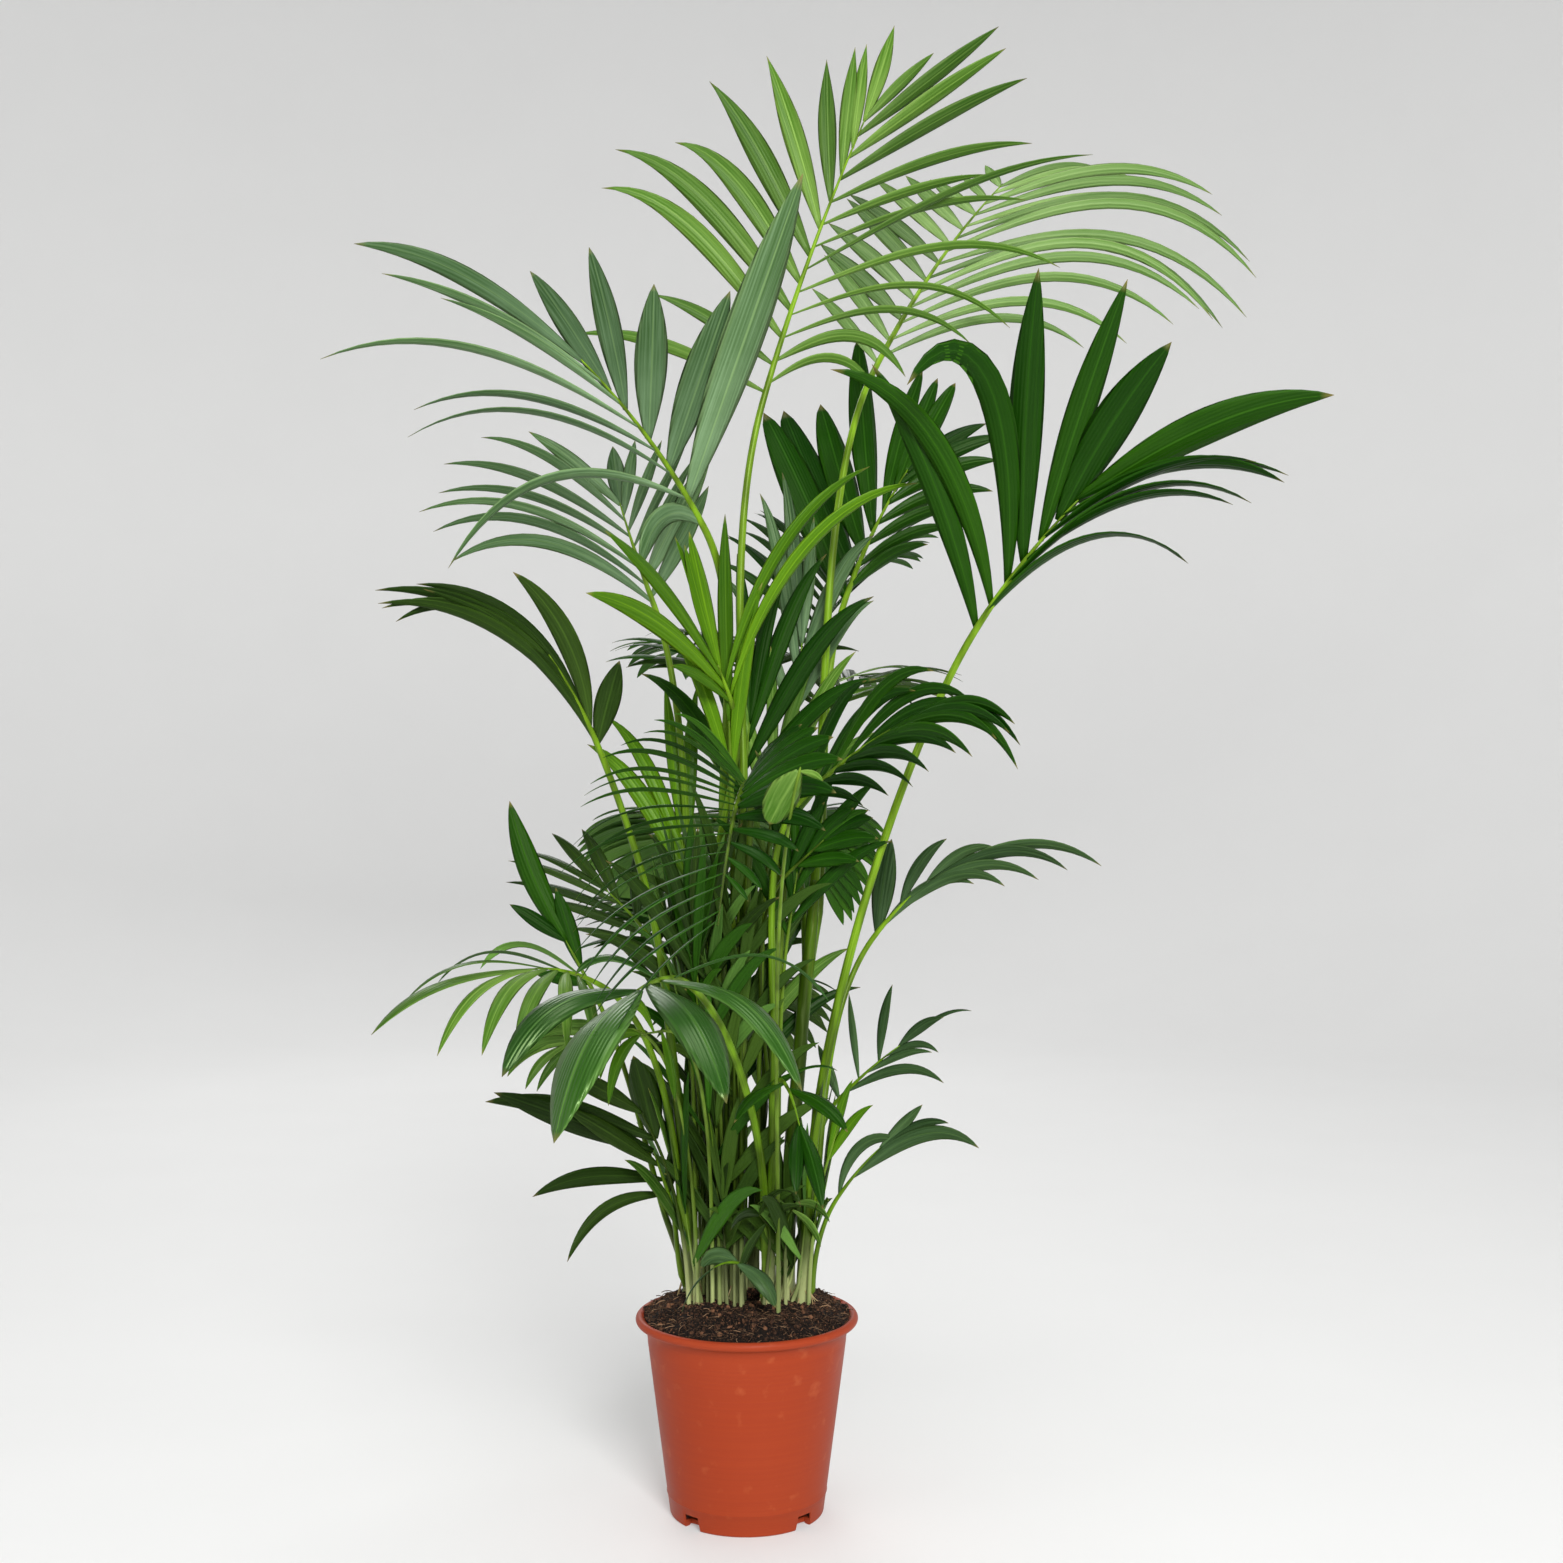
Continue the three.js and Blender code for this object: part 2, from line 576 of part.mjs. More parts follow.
// How a measure rises from the start of a row to its peak and falls to its end.
function lengthShare(u, { start, peak, end }) {
  if (u < peak) return mix(start, 1, Math.sin((u / peak) * (Math.PI / 2)));
  return 1 - (1 - end) * ((u - peak) / (1 - peak)) ** ROW.fall;
}

// Half width of a leaflet along its length, as a share of its widest.
function leafShare(s) {
  if (s < LEAF_WIDEST) return mix(LEAF_ROOT, 1, Math.sin((s / LEAF_WIDEST) * (Math.PI / 2)));
  const toPoint = (s - LEAF_WIDEST) / (1 - LEAF_WIDEST);
  return Math.max(0, Math.cos(toPoint * (Math.PI / 2))) ** LEAF_POINT;
}

// One leaflet: a strip with a ridge along its midrib, bending down as it goes.
// nudge lifts it off its neighbours.
function leafGeometry(leaf, nudge) {
  const fold = leaf.fold + rad(nudge);
  const way = leaf.along.clone().multiplyScalar(Math.cos(leaf.angle))
    .addScaledVector(leaf.across, Math.cos(fold) * Math.sin(leaf.angle))
    .addScaledVector(leaf.up, Math.sin(fold) * Math.sin(leaf.angle))
    .normalize();
  const look = leaf.up.clone().multiplyScalar(Math.cos(fold));
  look.addScaledVector(leaf.across, -Math.sin(fold));
  look.addScaledVector(way, -look.dot(way)).normalize().applyAxisAngle(way, leaf.turn);
  const thick = Math.max(LEAF_MIN_THICK, leaf.size * LEAF_THICK_SHARE);
  const stations = STATIONS.find((entry) => leaf.size < entry.upTo).steps;
  const point = leaf.base.clone();
  const rings = [];
  for (let k = 0; k <= LEAF_STEPS; k += 1) {
    const s = k / LEAF_STEPS;
    const heading = way.clone();
    heading.z -= LEAF_SAG * leaf.droop * s * s;
    heading.normalize();
    const normal = look.clone().addScaledVector(heading, -look.dot(heading)).normalize();
    const side = heading.clone().cross(normal);
    const half = (leaf.width / 2) * leafShare(s);
    if (stations.includes(k)) {
      rings.push([
        point.clone().addScaledVector(side, -half).addScaledVector(normal, -thick / 2),
        point.clone().addScaledVector(normal, thick / 2),
        point.clone().addScaledVector(side, half).addScaledVector(normal, -thick / 2),
      ]);
    }
    if (k === LEAF_STEPS) rings.push([point.clone().addScaledVector(normal, -thick / 2)]);
    point.addScaledVector(heading, leaf.size / LEAF_STEPS);
  }
  return loft(rings);
}

function weldedSolid(geometry) {
  const bare = geometry.clone();
  bare.deleteAttribute('normal');
  bare.deleteAttribute('uv');
  return toSolid(mergeVertices(bare));
}

// Pieces fused into one body, with any hollow that this seals filled.
function fuse(solids) {
  const shells = wasm.Manifold.union(solids).decompose();
  shells.sort((a, b) => b.volume() - a.volume());
  return shells[0].simplify(WELD);
}

function boxesMeet(a, b) {
  return [0, 1, 2].every((i) => a.min[i] < b.max[i] + GAP && b.min[i] < a.max[i] + GAP);
}

function touches(solid, others) {
  const box = solid.boundingBox();
  return others.some((other) => boxesMeet(box, other.box) && solid.minGap(other.solid, 2 * GAP) < GAP);
}

const plant = new THREE.Group();

function place(name, solid, look) {
  const material = new THREE.MeshStandardMaterial({ ...finish[look], metalness: 0 });
  const mesh = new THREE.Mesh(toGeometry(solid), material);
  mesh.name = name;
  plant.add(mesh);
}

// What a leaflet has to keep clear of, each with the frond that it belongs to.
const obstacles = [];

function addObstacle(owner, solid) {
  obstacles.push({ owner, solid, box: solid.boundingBox() });
}

const pot = potSolid();
place('pot', pot, 'pot');
addObstacle('pot', pot);

const soil = soilSolid();
place('soil', soil, 'soil');
addObstacle('soil', soil);

const canes = {};
const limbs = [];
for (const [name, sizes] of Object.entries(CANES)) {
  const curve = caneCurve(sizes);
  const radiusAt = (share) => caneRadius(sizes, share);
  const solid = toSolid(limb(curve, CANE_SIDES, CANE_STEPS, radiusAt));
  canes[name] = { ...sizes, curve, solid };
  limbs.push({ name, path: pathOf(curve, radiusAt) });
  place(name, solid, 'cane');
  addObstacle(name, solid);
}

// A stalk whose foot stands a gap away from its cane.
function seatedStalk(frond, rib, turn, push, radiusAt) {
  const make = (inset) => {
    const curve = stalkCurve(frond, rib, turn, push, inset);
    return toSolid(limb(curve, STALK_SIDES, STALK_STEPS, radiusAt));
  };
  let inset = 0;
  let solid = make(inset);
  for (let i = 0; i < SEAT_STEPS && frond.from !== 'tip'; i += 1) {
    inset += solid.minGap(canes[frond.cane].solid, SEAT_SEARCH) - GAP;
    solid = make(inset);
  }
  return solid;
}

// The stalk of a frond, on the first way that is clear of the limbs before it.
function findStalk(frond, rib, ribPath) {
  const radiusAt = (share) => mix(frond.stalk[0], frond.stalk[1], share);
  for (const push of BEND_PUSHES) {
    for (const turn of FOOT_TURNS) {
      const curve = stalkCurve(frond, rib, rad(turn), push);
      const path = [...pathOf(curve, radiusAt), ...ribPath];
      if (keepsClear(path, limbs, frond)) {
        return { path, solid: seatedStalk(frond, rib, rad(turn), push, radiusAt) };
      }
    }
  }
  throw new Error(`no clear way for the stalk of ${frond.name}`);
}

// Stalks and ribs come before any leaflet, so that a leaflet gives way to them.
const fronds = FRONDS.map((frond) => {
  const rib = ribCurve(frond);
  const ribRadius = (share) => mix(frond.stalk[1], frond.stalk[1] * RIB_TAPER, share);
  const { path, solid: stalk } = findStalk(frond, rib, pathOf(rib, ribRadius));
  limbs.push({ name: frond.name, path });
  const step = rib.getTangent(0).multiplyScalar(frond.whole ? -NECK_OVERLAP : GAP);
  const ribSolid = toSolid(limb(rib, RIB_SIDES, RIB_STEPS, ribRadius)).translate(step.toArray());
  addObstacle(frond.whole ? frond.name : `${frond.name} stalk`, stalk);
  addObstacle(frond.name, ribSolid);
  return { ...frond, rib, stalkSolid: stalk, ribSolid };
});

fronds.forEach((frond, index) => {
  const parts = [frond.ribSolid];
  for (const leaf of leaflets(frond, frond.rib, chance(index + 1))) {
    const others = obstacles.filter((other) => other.owner !== frond.name);
    const nudge = NUDGES.find((lift) => !touches(toSolid(leafGeometry(leaf, lift)), others));
    if (nudge === undefined) continue;
    const solid = toSolid(leafGeometry(leaf, nudge));
    parts.push(solid);
    addObstacle(frond.name, solid);
  }
  if (frond.whole) {
    place(`frond_${frond.name}`, fuse([frond.stalkSolid, ...parts]), 'blade');
  } else {
    place(`stalk_${frond.name}`, frond.stalkSolid, 'stalk');
    place(`blade_${frond.name}`, fuse(parts), 'blade');
  }
});

export default plant;
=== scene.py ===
# Looks of the potted kentia palm, made round its CAD frame.
#
# Sizes are in millimetres up to the point where a mesh is made. Canes, stalks and ribs
# are where the CAD model has them. The leaflets are finer, in rows with numbers of their
# own, within the same reach. The younger fronds and shoots inside the clump are made
# here only.
import math

import bpy
import numpy as np
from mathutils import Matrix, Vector


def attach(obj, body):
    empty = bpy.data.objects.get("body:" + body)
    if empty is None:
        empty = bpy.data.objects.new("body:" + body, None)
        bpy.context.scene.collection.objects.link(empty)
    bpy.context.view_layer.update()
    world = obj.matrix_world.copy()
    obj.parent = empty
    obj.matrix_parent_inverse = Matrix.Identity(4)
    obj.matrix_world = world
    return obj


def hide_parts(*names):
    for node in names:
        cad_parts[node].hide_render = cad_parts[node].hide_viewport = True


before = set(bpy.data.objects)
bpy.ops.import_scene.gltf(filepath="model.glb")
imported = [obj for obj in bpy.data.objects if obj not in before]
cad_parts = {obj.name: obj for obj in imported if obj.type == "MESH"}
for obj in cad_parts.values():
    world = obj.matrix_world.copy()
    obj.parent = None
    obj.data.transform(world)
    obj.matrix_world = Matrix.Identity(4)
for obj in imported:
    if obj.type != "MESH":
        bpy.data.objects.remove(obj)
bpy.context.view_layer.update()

# A millimetre in metres, and the gap between the solids of the CAD model.
MM = 0.001
GAP = 0.3

# The photograph's camera, worked out from the pot's rim and height.
CAMERA_PLACE = (37.3, -2100, 785.6)
CAMERA_LENS = 44.75
CAMERA_SENSOR = 36

# Pot, as in the CAD model, with the detail of its moulding. HOLLOW is how high the
# underside lies between the middle pad and the foot ring, and RIM_INSIDE the wall's inner
# side under the rim: how far out it is, and how far down. Edges are softened where faces
# meet at more than SOFT_ABOVE degrees, and drawn sharp at more than SHARP_ABOVE.
POT_HEIGHT = 212
POT_RIM = 120
POT_NECK = 107
POT_FOOT = 83
POT_WALL = 3
POT_SIDES = 144
PAD_RADIUS = 32
RIM_BEAD = 4.7
RIM_INSIDE = ((6, 3), (2, 12), (0, 20))
NECK_LENGTH = 19
FOOT_ROUND = 2.5
FOOT_RING = 7
FLOOR_TOP = 7
HOLLOW = 3
FOOT_LINE = 22
LINE_RELIEF = 0.7
EDGE_SOFTNESS = 0.6
SOFT_ABOVE = 38
SHARP_ABOVE = 40
NOTCHES = 4
NOTCH_HEIGHT = 15
NOTCH_ANGLE = 15
NOTCH_DEPTH = 15
NOTCH_REACH = 5.5
NOTCH_TAPER = (1.12, 0.86)
FIRST_NOTCH = -43

# Compost: its edge and crown in the CAD model, and its lumpy heap, which is higher.
SOIL_EDGE = 204
SOIL_CROWN = 221
SOIL_RADIUS = 104
HEAP_EDGE = 211
HEAP_CROWN = 229
HEAP_RADIUS = 111
HEAP_RINGS = 44
HEAP_SIDES = 120

# Canes: foot, tip and the radii at each end.
CANE_FLARE = 1.25
CANE_UPRIGHT = 0.35
CANE_LEAN = 0.3
CANES = {
    "cane_1": dict(foot=(-58, 0), tip=(-83, -45, 544), radii=(6.5, 4.6)),
    "cane_2": dict(foot=(-44, 34), tip=(-61, 48, 588), radii=(7.0, 4.8)),
    "cane_3": dict(foot=(-34, 8), tip=(-25, 0, 766), radii=(7.5, 5.2)),
    "cane_4": dict(foot=(-10, -18), tip=(-2, -28, 659), radii=(7.5, 5.2)),
    "cane_5": dict(foot=(4, 36), tip=(27, 32, 546), radii=(6.5, 4.8)),
    "cane_6": dict(foot=(42, 20), tip=(74, 40, 677), radii=(9.0, 6.0)),
    "cane_7": dict(foot=(60, -10), tip=(68, -32, 361), radii=(7.5, 5.2)),
    "cane_8": dict(foot=(-66, 28), tip=(-94, 36, 320), radii=(4.5, 3.4)),
    "cane_9": dict(foot=(22, -30), tip=(30, -60, 472), radii=(6.5, 4.6)),
}

# What a row of leaflets has unless it says otherwise. Angles are in degrees: fold lifts a
# leaflet out of the frond's plane, bend is what its angle gains to its tip, and turn rolls
# it about its length. point is how blunt it is. The row runs from begin to finish, as
# shares of the rib.
COMMON = dict(fold=12, bend=0, turn=0, point=0.8, begin=0.02, finish=0.98)
FRONDS = {}
YOUNG_FRONDS = []
YOUNG_FACE = (0, -1, 0.2)


def row(leaves, angle, length, width, droop=0.5, **more):
    """A row of leaflets. Each value is one number, or several from foot to tip of the rib.

    angle is a leaflet's angle to the rib, and droop is how far it sags.
    """
    return dict(COMMON, leaves=leaves, angle=angle, length=length, width=width, droop=droop, **more)


def add_frond(name, green, cane, at, neck, tip, stalk, left, right, **more):
    """A frond that a cane carries.

    at is where its stalk leaves: at the cane's tip, or at a height beside it. neck and tip
    are the ends of the rib, and stalk is the stalk's radii. Of the rest, bow is the rib's
    bend, face is the way that the leaflets' upper sides look, and a whole frond is one
    node in the CAD model. neck_reach, foot_turn and foot_push shape the stalk's curve, and
    stem_tone is the shade of stalk and rib.
    """
    FRONDS[name] = dict(
        green=green, cane=cane, at=at, neck=neck, tip=tip, stalk=stalk, left=left, right=right, **more,
    )


def add_young_frond(green, foot, radius, neck, tip, left, right):
    """A younger frond inside the clump, which grows out of the compost."""
    YOUNG_FRONDS.append(dict(
        green=green, foot=foot, radius=radius, neck=neck, tip=tip, face=YOUNG_FACE, left=left, right=right,
    ))


# Fronds, with stalks and ribs as in the CAD model, but for far_left's rib, which is shorter
# because its leaflets sweep on past it. bright_centre's stalk leaves its cane turned and
# pushed out, which is the CAD model's way round the stalks beside it.
add_frond(
    "right_fan", "deep", "cane_7", "tip", (240, -60, 943), (341, -120, 1074), (5.2, 3.8), bow=(-6, 0, 8),
    face=(-0.1, -1, 0.05), neck_reach=0.2,
    left=row(
        7, (44, 42, 34, 39, 24, 14, -12), (296, 325, 372, 288, 284, 212, 275),
        (26, 26, 31, 34, 31, 44, 36), (0.15, 0.5, 1, 0.02, 0.05, 0.1, 0.35),
        bend=(14, 30, 30, -6, -6, -8, -12),
    ),
    right=row(
        6, (8, 8, 12, 14, 18, 22), (250, 290, 250, 235, 235, 225), (26, 22, 18, 18, 18, 20),
        (0.85, 0.7, 0.6, 0.5, 0.5, 0.55), bend=(22, 18, 14, 12, 12, 14), turn=(76, 72, 70, 70, 66, 60),
    ),
)
add_frond(
    "top", "fresh", "cane_4", "tip", (18, 20, 1204), (132, 60, 1526), (5.2, 3.6), bow=(-12, 0, 0),
    face=(-0.1, -1, 0.15),
    left=row(
        11, (82, 66, 56, 52, 47, 44, 35, 25, 18, 14, 5),
        (225, 150, 268, 262, 218, 222, 190, 165, 142, 122, 118),
        (15, 17, 26, 29, 29, 28, 26, 23, 18, 15, 18),
        (0.5, 0.3, 0.6, 0.55, 0.55, 0.3, 0.15, 0.05, 0, 0, 0), point=1.05, fold=18,
    ),
    right=row(
        13, (38, 40, 46, 50, 48, 42, 44, 42, 39, 34, 31, 30, 20),
        (150, 175, 240, 265, 300, 345, 260, 195, 255, 245, 235, 205, 116),
        (12, 15, 10, 10, 11, 11, 11, 12, 14, 17, 19, 18, 13),
        (1.3, 1.4, 0.9, 0.85, 0.7, 0.35, 0.35, 0.15, 0.25, 0.15, 0.1, 0.05, 0.05),
        turn=(40, 20, 50, 50, 50, 55, 55, 50, 45, 35, 30, 25, 20), fold=-14,
    ),
)
add_frond(
    "top_right", "pale", "cane_6", "tip", (144, 110, 1256), (314, 330, 1533), (5.4, 3.6), bow=(-8, 0, 22),
    face=(-0.2, -0.9, 0.4),
    left=row(
        11, (50, 50, 52, 54, 56, 58, 60, 62, 64, 60, 50),
        (130, 145, 160, 165, 165, 160, 135, 105, 75, 50, 40),
        (18, 22, 25, 26, 26, 26, 26, 25, 22, 20, 18), 0.05, bend=14, fold=15,
    ),
    right=row(
        14, (48, 46, 46, 46, 44, 40, 34), (250, 340, 390, 410, 380, 300, 150),
        (11, 12, 13, 13, 14, 14, 12), (0.8, 1, 1.15, 1.1, 0.9, 0.7, 0.6), bend=8,
        turn=(60, 60, 56, 50, 50, 50, 60), fold=10,
    ),
)
add_frond(
    "upper_left", "blue", "cane_3", "tip", (-44, -60, 1052), (-163, -160, 1207), (5.2, 3.8),
    bow=(12, 0, 10), face=(0.1, -1, 0.3),
    left=row(
        8, (24, 36, 28, 26, 23, 14, 12, 6), (118, 330, 325, 298, 372, 228, 268, 255),
        (26, 15, 12, 11, 12, 10, 12, 20), (2, 1, 0.6, 0.5, 0.5, 0.2, 0.2, 0.45),
        bend=(70, 22, 18, 16, 14, 8, 6, 12), turn=(10, 40, 64, 66, 66, 60, 56, 20),
    ),
    right=row(
        5, (52, 52, 44, 28, 8), (335, 185, 155, 160, 140), (46, 38, 34, 27, 24), (0, 0, 0, 0.05, 0.1),
        begin=0.1, finish=0.8, bend=(4, 0, 0, -4, -8),
    ),
)
add_frond(
    "centre_right", "deep", "cane_6", 640, (109, 90, 990), (184, 160, 1148), (4.8, 3.6), bow=(-8, 0, 6),
    face=(-0.1, -1, 0.2),
    left=row(
        7, (38, 42, 38, 26, 14, 10, 6), (250, 213, 197, 262, 200, 170, 140), (46, 44, 40, 34, 22, 22, 22),
        (0.1, 0.05, 0.05, 0.05, 0.05, 0.1, 0.1), bend=(2, 0, -4, -4, -4, 0, 0), point=0.6,
    ),
    right=row(
        7, (30, 32, 30, 26, 20), (110, 125, 140, 150, 120), (16, 16, 18, 20, 20),
        (0.4, 0.4, 0.4, 0.3, 0.2), bend=10, turn=(60, 55, 50, 40, 20),
    ),
)
add_frond(
    "middle_left", "blue", "cane_2", "tip", (-106, 80, 984), (-150, 150, 1108), (4.8, 3.4),
    bow=(-2, 0, 0), face=(0.1, -1, 0.3),
    left=row(
        7, (30, 34, 36, 36, 34, 32, 28), (265, 275, 272, 262, 242, 212, 150),
        (16, 12, 11, 11, 12, 12, 20), (0.75, 0.6, 0.5, 0.5, 0.45, 0.4, 0.1),
        bend=(26, 22, 20, 18, 18, 14, 12), turn=(40, 60, 62, 58, 52, 50, 10),
    ),
    right=row(
        7, (44, 42, 40, 38, 32, 24, 4), (150, 175, 150, 150, 130, 108, 84), (21, 30, 12, 11, 13, 15, 22),
        0.05, turn=(10, 0, 30, 40, 30, 20, 0),
    ),
)
add_frond(
    "far_left", "dark", "cane_1", "tip", (-151, -80, 816), (-200, -120, 915), (4.6, 3.4), bow=(4, 0, 6),
    face=(0.3, -1, 0.2),
    left=row(
        5, (4, 8, 8, 8, 8), (275, 285, 250, 220, 185), (12, 14, 15, 13, 12), 0.15,
        bend=(36, 50, 50, 56, 64), fold=10, turn=30,
    ),
    right=row(
        4, (34, 20, 6, 0), (92, 182, 235, 215), (26, 24, 15, 12), 0.15, bend=(0, -40, -52, -60),
        finish=0.5,
    ),
)
add_frond(
    "bright_centre", "bright", "cane_3", 600, (-15, -52, 868), (-29, -78, 907), (4.2, 3.2),
    face=(0.4, -1, 0.4), foot_turn=-50, foot_push=40,
    left=row(4, (22, 20, 12, -6), (120, 268, 240, 150), (14, 24, 18, 14), 0.12, bend=(20, 26, 14, 10)),
    right=row(
        4, (40, 38, 6, 0), (315, 292, 165, 140), (17, 17, 18, 14), (0.35, 0.3, 0.1, 0.1),
        bend=(40, 32, 4, 0),
    ),
)
add_frond(
    "front_drooping", "deep", "cane_4", 552, (3, -130, 785), (-20, -350, 656), (4.4, 3.2),
    bow=(0, -20, 60), face=(0, -1, 1.2), stem_tone=-1,
    left=row(
        11, (84, 80, 74, 66, 58), (62, 116, 124, 68, 36), (20, 25, 24, 14, 8), (0.2, 0.3, 0.5, 0.7, 0.8),
        finish=0.8, fold=(58, 50, 34, 6, -20), turn=(-50, -45, -30, 0, 0),
    ),
    right=row(
        20, (84, 80, 74, 64, 50), (105, 150, 168, 172, 150), (11, 12, 12, 12, 11),
        (0.6, 0.7, 0.8, 0.9, 0.9), fold=(54, 30, 10, 0, -6), turn=45,
    ),
)
add_frond(
    "front_right", "deep", "cane_9", "tip", (57, -80, 766), (158, -200, 844), (4.4, 3.2), bow=(0, 0, 12),
    face=(0.2, -1, 0.6),
    left=row(
        8, (26, 22, 14, 4, -6), (165, 200, 205, 205, 185), (16, 16, 15, 14, 12), (0.5, 0.55, 0.75, 1, 1),
        bend=(-8, -16, -20, -18, -12),
    ),
    right=row(9, (30, 20, 12, 4), (110, 150, 175, 165), (14, 16, 15, 13), (0.5, 0.9), turn=40),
)
add_frond(
    "broad_front", "glossy", "cane_9", 315, (-68, -230, 596), (-97, -300, 592), (4.4, 3.4), bow=(0, 0, 6),
    face=(0, -0.6, 1),
    left=row(
        4, (92, 70, 48, 2), (172, 225, 206, 209), (15, 32, 48, 60), (1.3, 1.45, 1.15, 1.58),
        fold=(40, 20, 12, 12),
    ),
    right=row(2, (66, 32), (94, 176), (14, 34), (1.3, 1.5), fold=(26, 12)),
)
add_frond(
    "left_arching", "fresh", "cane_1", 338, (-150, -90, 575), (-211, -140, 597), (4.0, 3.0),
    bow=(0, 0, 10), face=(0, -0.6, 1),
    left=row(5, (70, 44, 16), (130, 165, 170), (16, 17, 14), (1.3, 1.4, 1.6), begin=0.35),
    right=row(
        4, (30, 16, 0), (125, 155, 205), (12, 14, 26), (1.4, 1.2, 0.8), begin=0.2, turn=(50, 50, 30),
    ),
)
add_frond(
    "right_low_arching", "sage", "cane_7", 340, (141, 40, 617), (195, 30, 672), (4.0, 3.0), bow=(0, 0, 8),
    face=(-0.3, -1, 0.4),
    left=row(3, (30, 26, 12), (104, 92, 90), (28, 14, 13), (0, 0.3, 0.4), bend=(-8, -24, -16)),
    right=row(5, (4, 8, 8), (120, 165, 205), (14, 13, 13), 0.8, bend=10, turn=(0, 50)),
)
add_frond(
    "back_left", "fresh", "cane_2", 543, (-71, 200, 746), (-110, 415, 640), (4.4, 3.2), bow=(0, 0, 60),
    face=(0, 0.3, 1),
    left=row(19, (72, 50, 20), (120, 175, 110), (17, 22, 16), 0.7),
    right=row(19, (72, 50, 20), (130, 190, 120), (17, 22, 16), 0.7),
)
add_frond(
    "back_right", "deep", "cane_6", 543, (58, 210, 746), (90, 430, 657), (4.4, 3.2), bow=(0, 0, 60),
    face=(0, 0.3, 1),
    left=row(19, (72, 50, 20), (130, 190, 120), (17, 22, 16), 0.7),
    right=row(18, (68, 46, 18), (95, 140, 95), (15, 19, 15), 0.8),
)
add_frond(
    "back_high", "deep", "cane_5", "tip", (73, 200, 953), (153, 430, 1074), (4.8, 3.4), bow=(0, 0, 50),
    face=(0, 0, 1),
    left=row(15, (60, 44, 16), (160, 190, 130), (20, 22, 16), 0.4, fold=(40, 30, 20)),
    right=row(15, (56, 42, 16), (150, 180, 120), (20, 22, 16), 0.4, fold=(40, 30, 20)),
)
add_frond(
    "back_low", "dark", "cane_5", 432, (7, 130, 552), (-11, 300, 466), (4.0, 3.0), bow=(0, 0, 40),
    face=(0, 0.2, 1),
    left=row(16, (72, 50, 20), (110, 160, 100), (16, 20, 15), 0.8),
    right=row(16, (72, 50, 20), (105, 150, 95), (16, 20, 15), 0.8),
)
add_frond(
    "left_behind", "dark", "cane_2", 435, (-95, 80, 591), (-166, 150, 660), (4.0, 3.0), bow=(0, 0, 8),
    face=(0.2, -0.8, 0.6),
    left=row(5, (46, 30, 10), (110, 165, 150), (14, 17, 14), 0.3),
    right=row(4, (50, 26, 6), (100, 130, 140), (16, 18, 14), 0.2),
)
add_frond(
    "front_low", "deep", "cane_9", 375, (32, -100, 477), (55, -195, 448), (3.8, 3.0), bow=(0, 0, 30),
    face=(0, -0.6, 1),
    left=row(3, (60, 30, 4), (70, 92, 96), (14, 18, 17), 0.8),
    right=row(2, (50, 14), (95, 80), (18, 16), 0.9),
)
add_frond(
    "left_upright", "deep", "cane_8", "tip", (-171, 10, 565), (-197, 10, 613), (3.2, 2.4),
    face=(0.2, -1, 0.2), whole=True,
    left=row(2, (50, 26), (62, 74), 16, 0.2),
    right=row(2, (12, -4), (92, 160), (20, 26), 0, bend=(0, 14)),
)
add_frond(
    "left_lowest", "dark", "cane_8", 247, (-84, -10, 341), (-100, -20, 391), (3.2, 2.4),
    face=(0.3, -1, 0.6), whole=True,
    left=row(4, (66, 55, 34, 48), (150, 162, 130, 190), (14, 20, 20, 28), (1.4, 0.4, 0.05, 0.1), fold=0),
    right=row(1, 30, 66, 16, 0.4),
)
add_frond(
    "right_low", "sage", "cane_7", 272, (99, 30, 436), (166, 10, 499), (3.2, 2.4), bow=(0, 0, 6),
    face=(-0.2, -1, 0.5), whole=True,
    left=row(
        4, (66, 58, 46, 10), (66, 92, 84, 60), (13, 9, 11, 12), (0, 0.05, 0.2, 0.3),
        bend=(0, 0, -16, -10),
    ),
    right=row(4, (16, 14, 8, -6), (125, 84, 66, 92), (12, 9, 9, 6), (0.9, 0.5, 0.9, 0.6)),
)
add_frond(
    "right_lowest", "sage", "cane_7", 240, (98, -20, 341), (143, -30, 396), (3.0, 2.2), bow=(0, 0, 6),
    face=(-0.2, -1, 0.5), whole=True,
    left=row(2, (28, 4), (112, 66), (12, 12), (0.8, 0), bend=(-60, 0)),
    right=row(2, (14, 4), (152, 84), (17, 12), (0.9, 0.5)),
)
add_frond(
    "seedling_leaf", "sage", "cane_9", 240, (-8, -76, 284), (-34, -104, 285), (2.4, 1.8), bow=(0, 0, 6),
    face=(0, -0.6, 1), whole=True,
    left=row(2, (110, 0), 62, (19, 12), (1.8, 1.2), turn=-50), right=row(1, 20, 50, 19, 1.4, turn=-50),
)

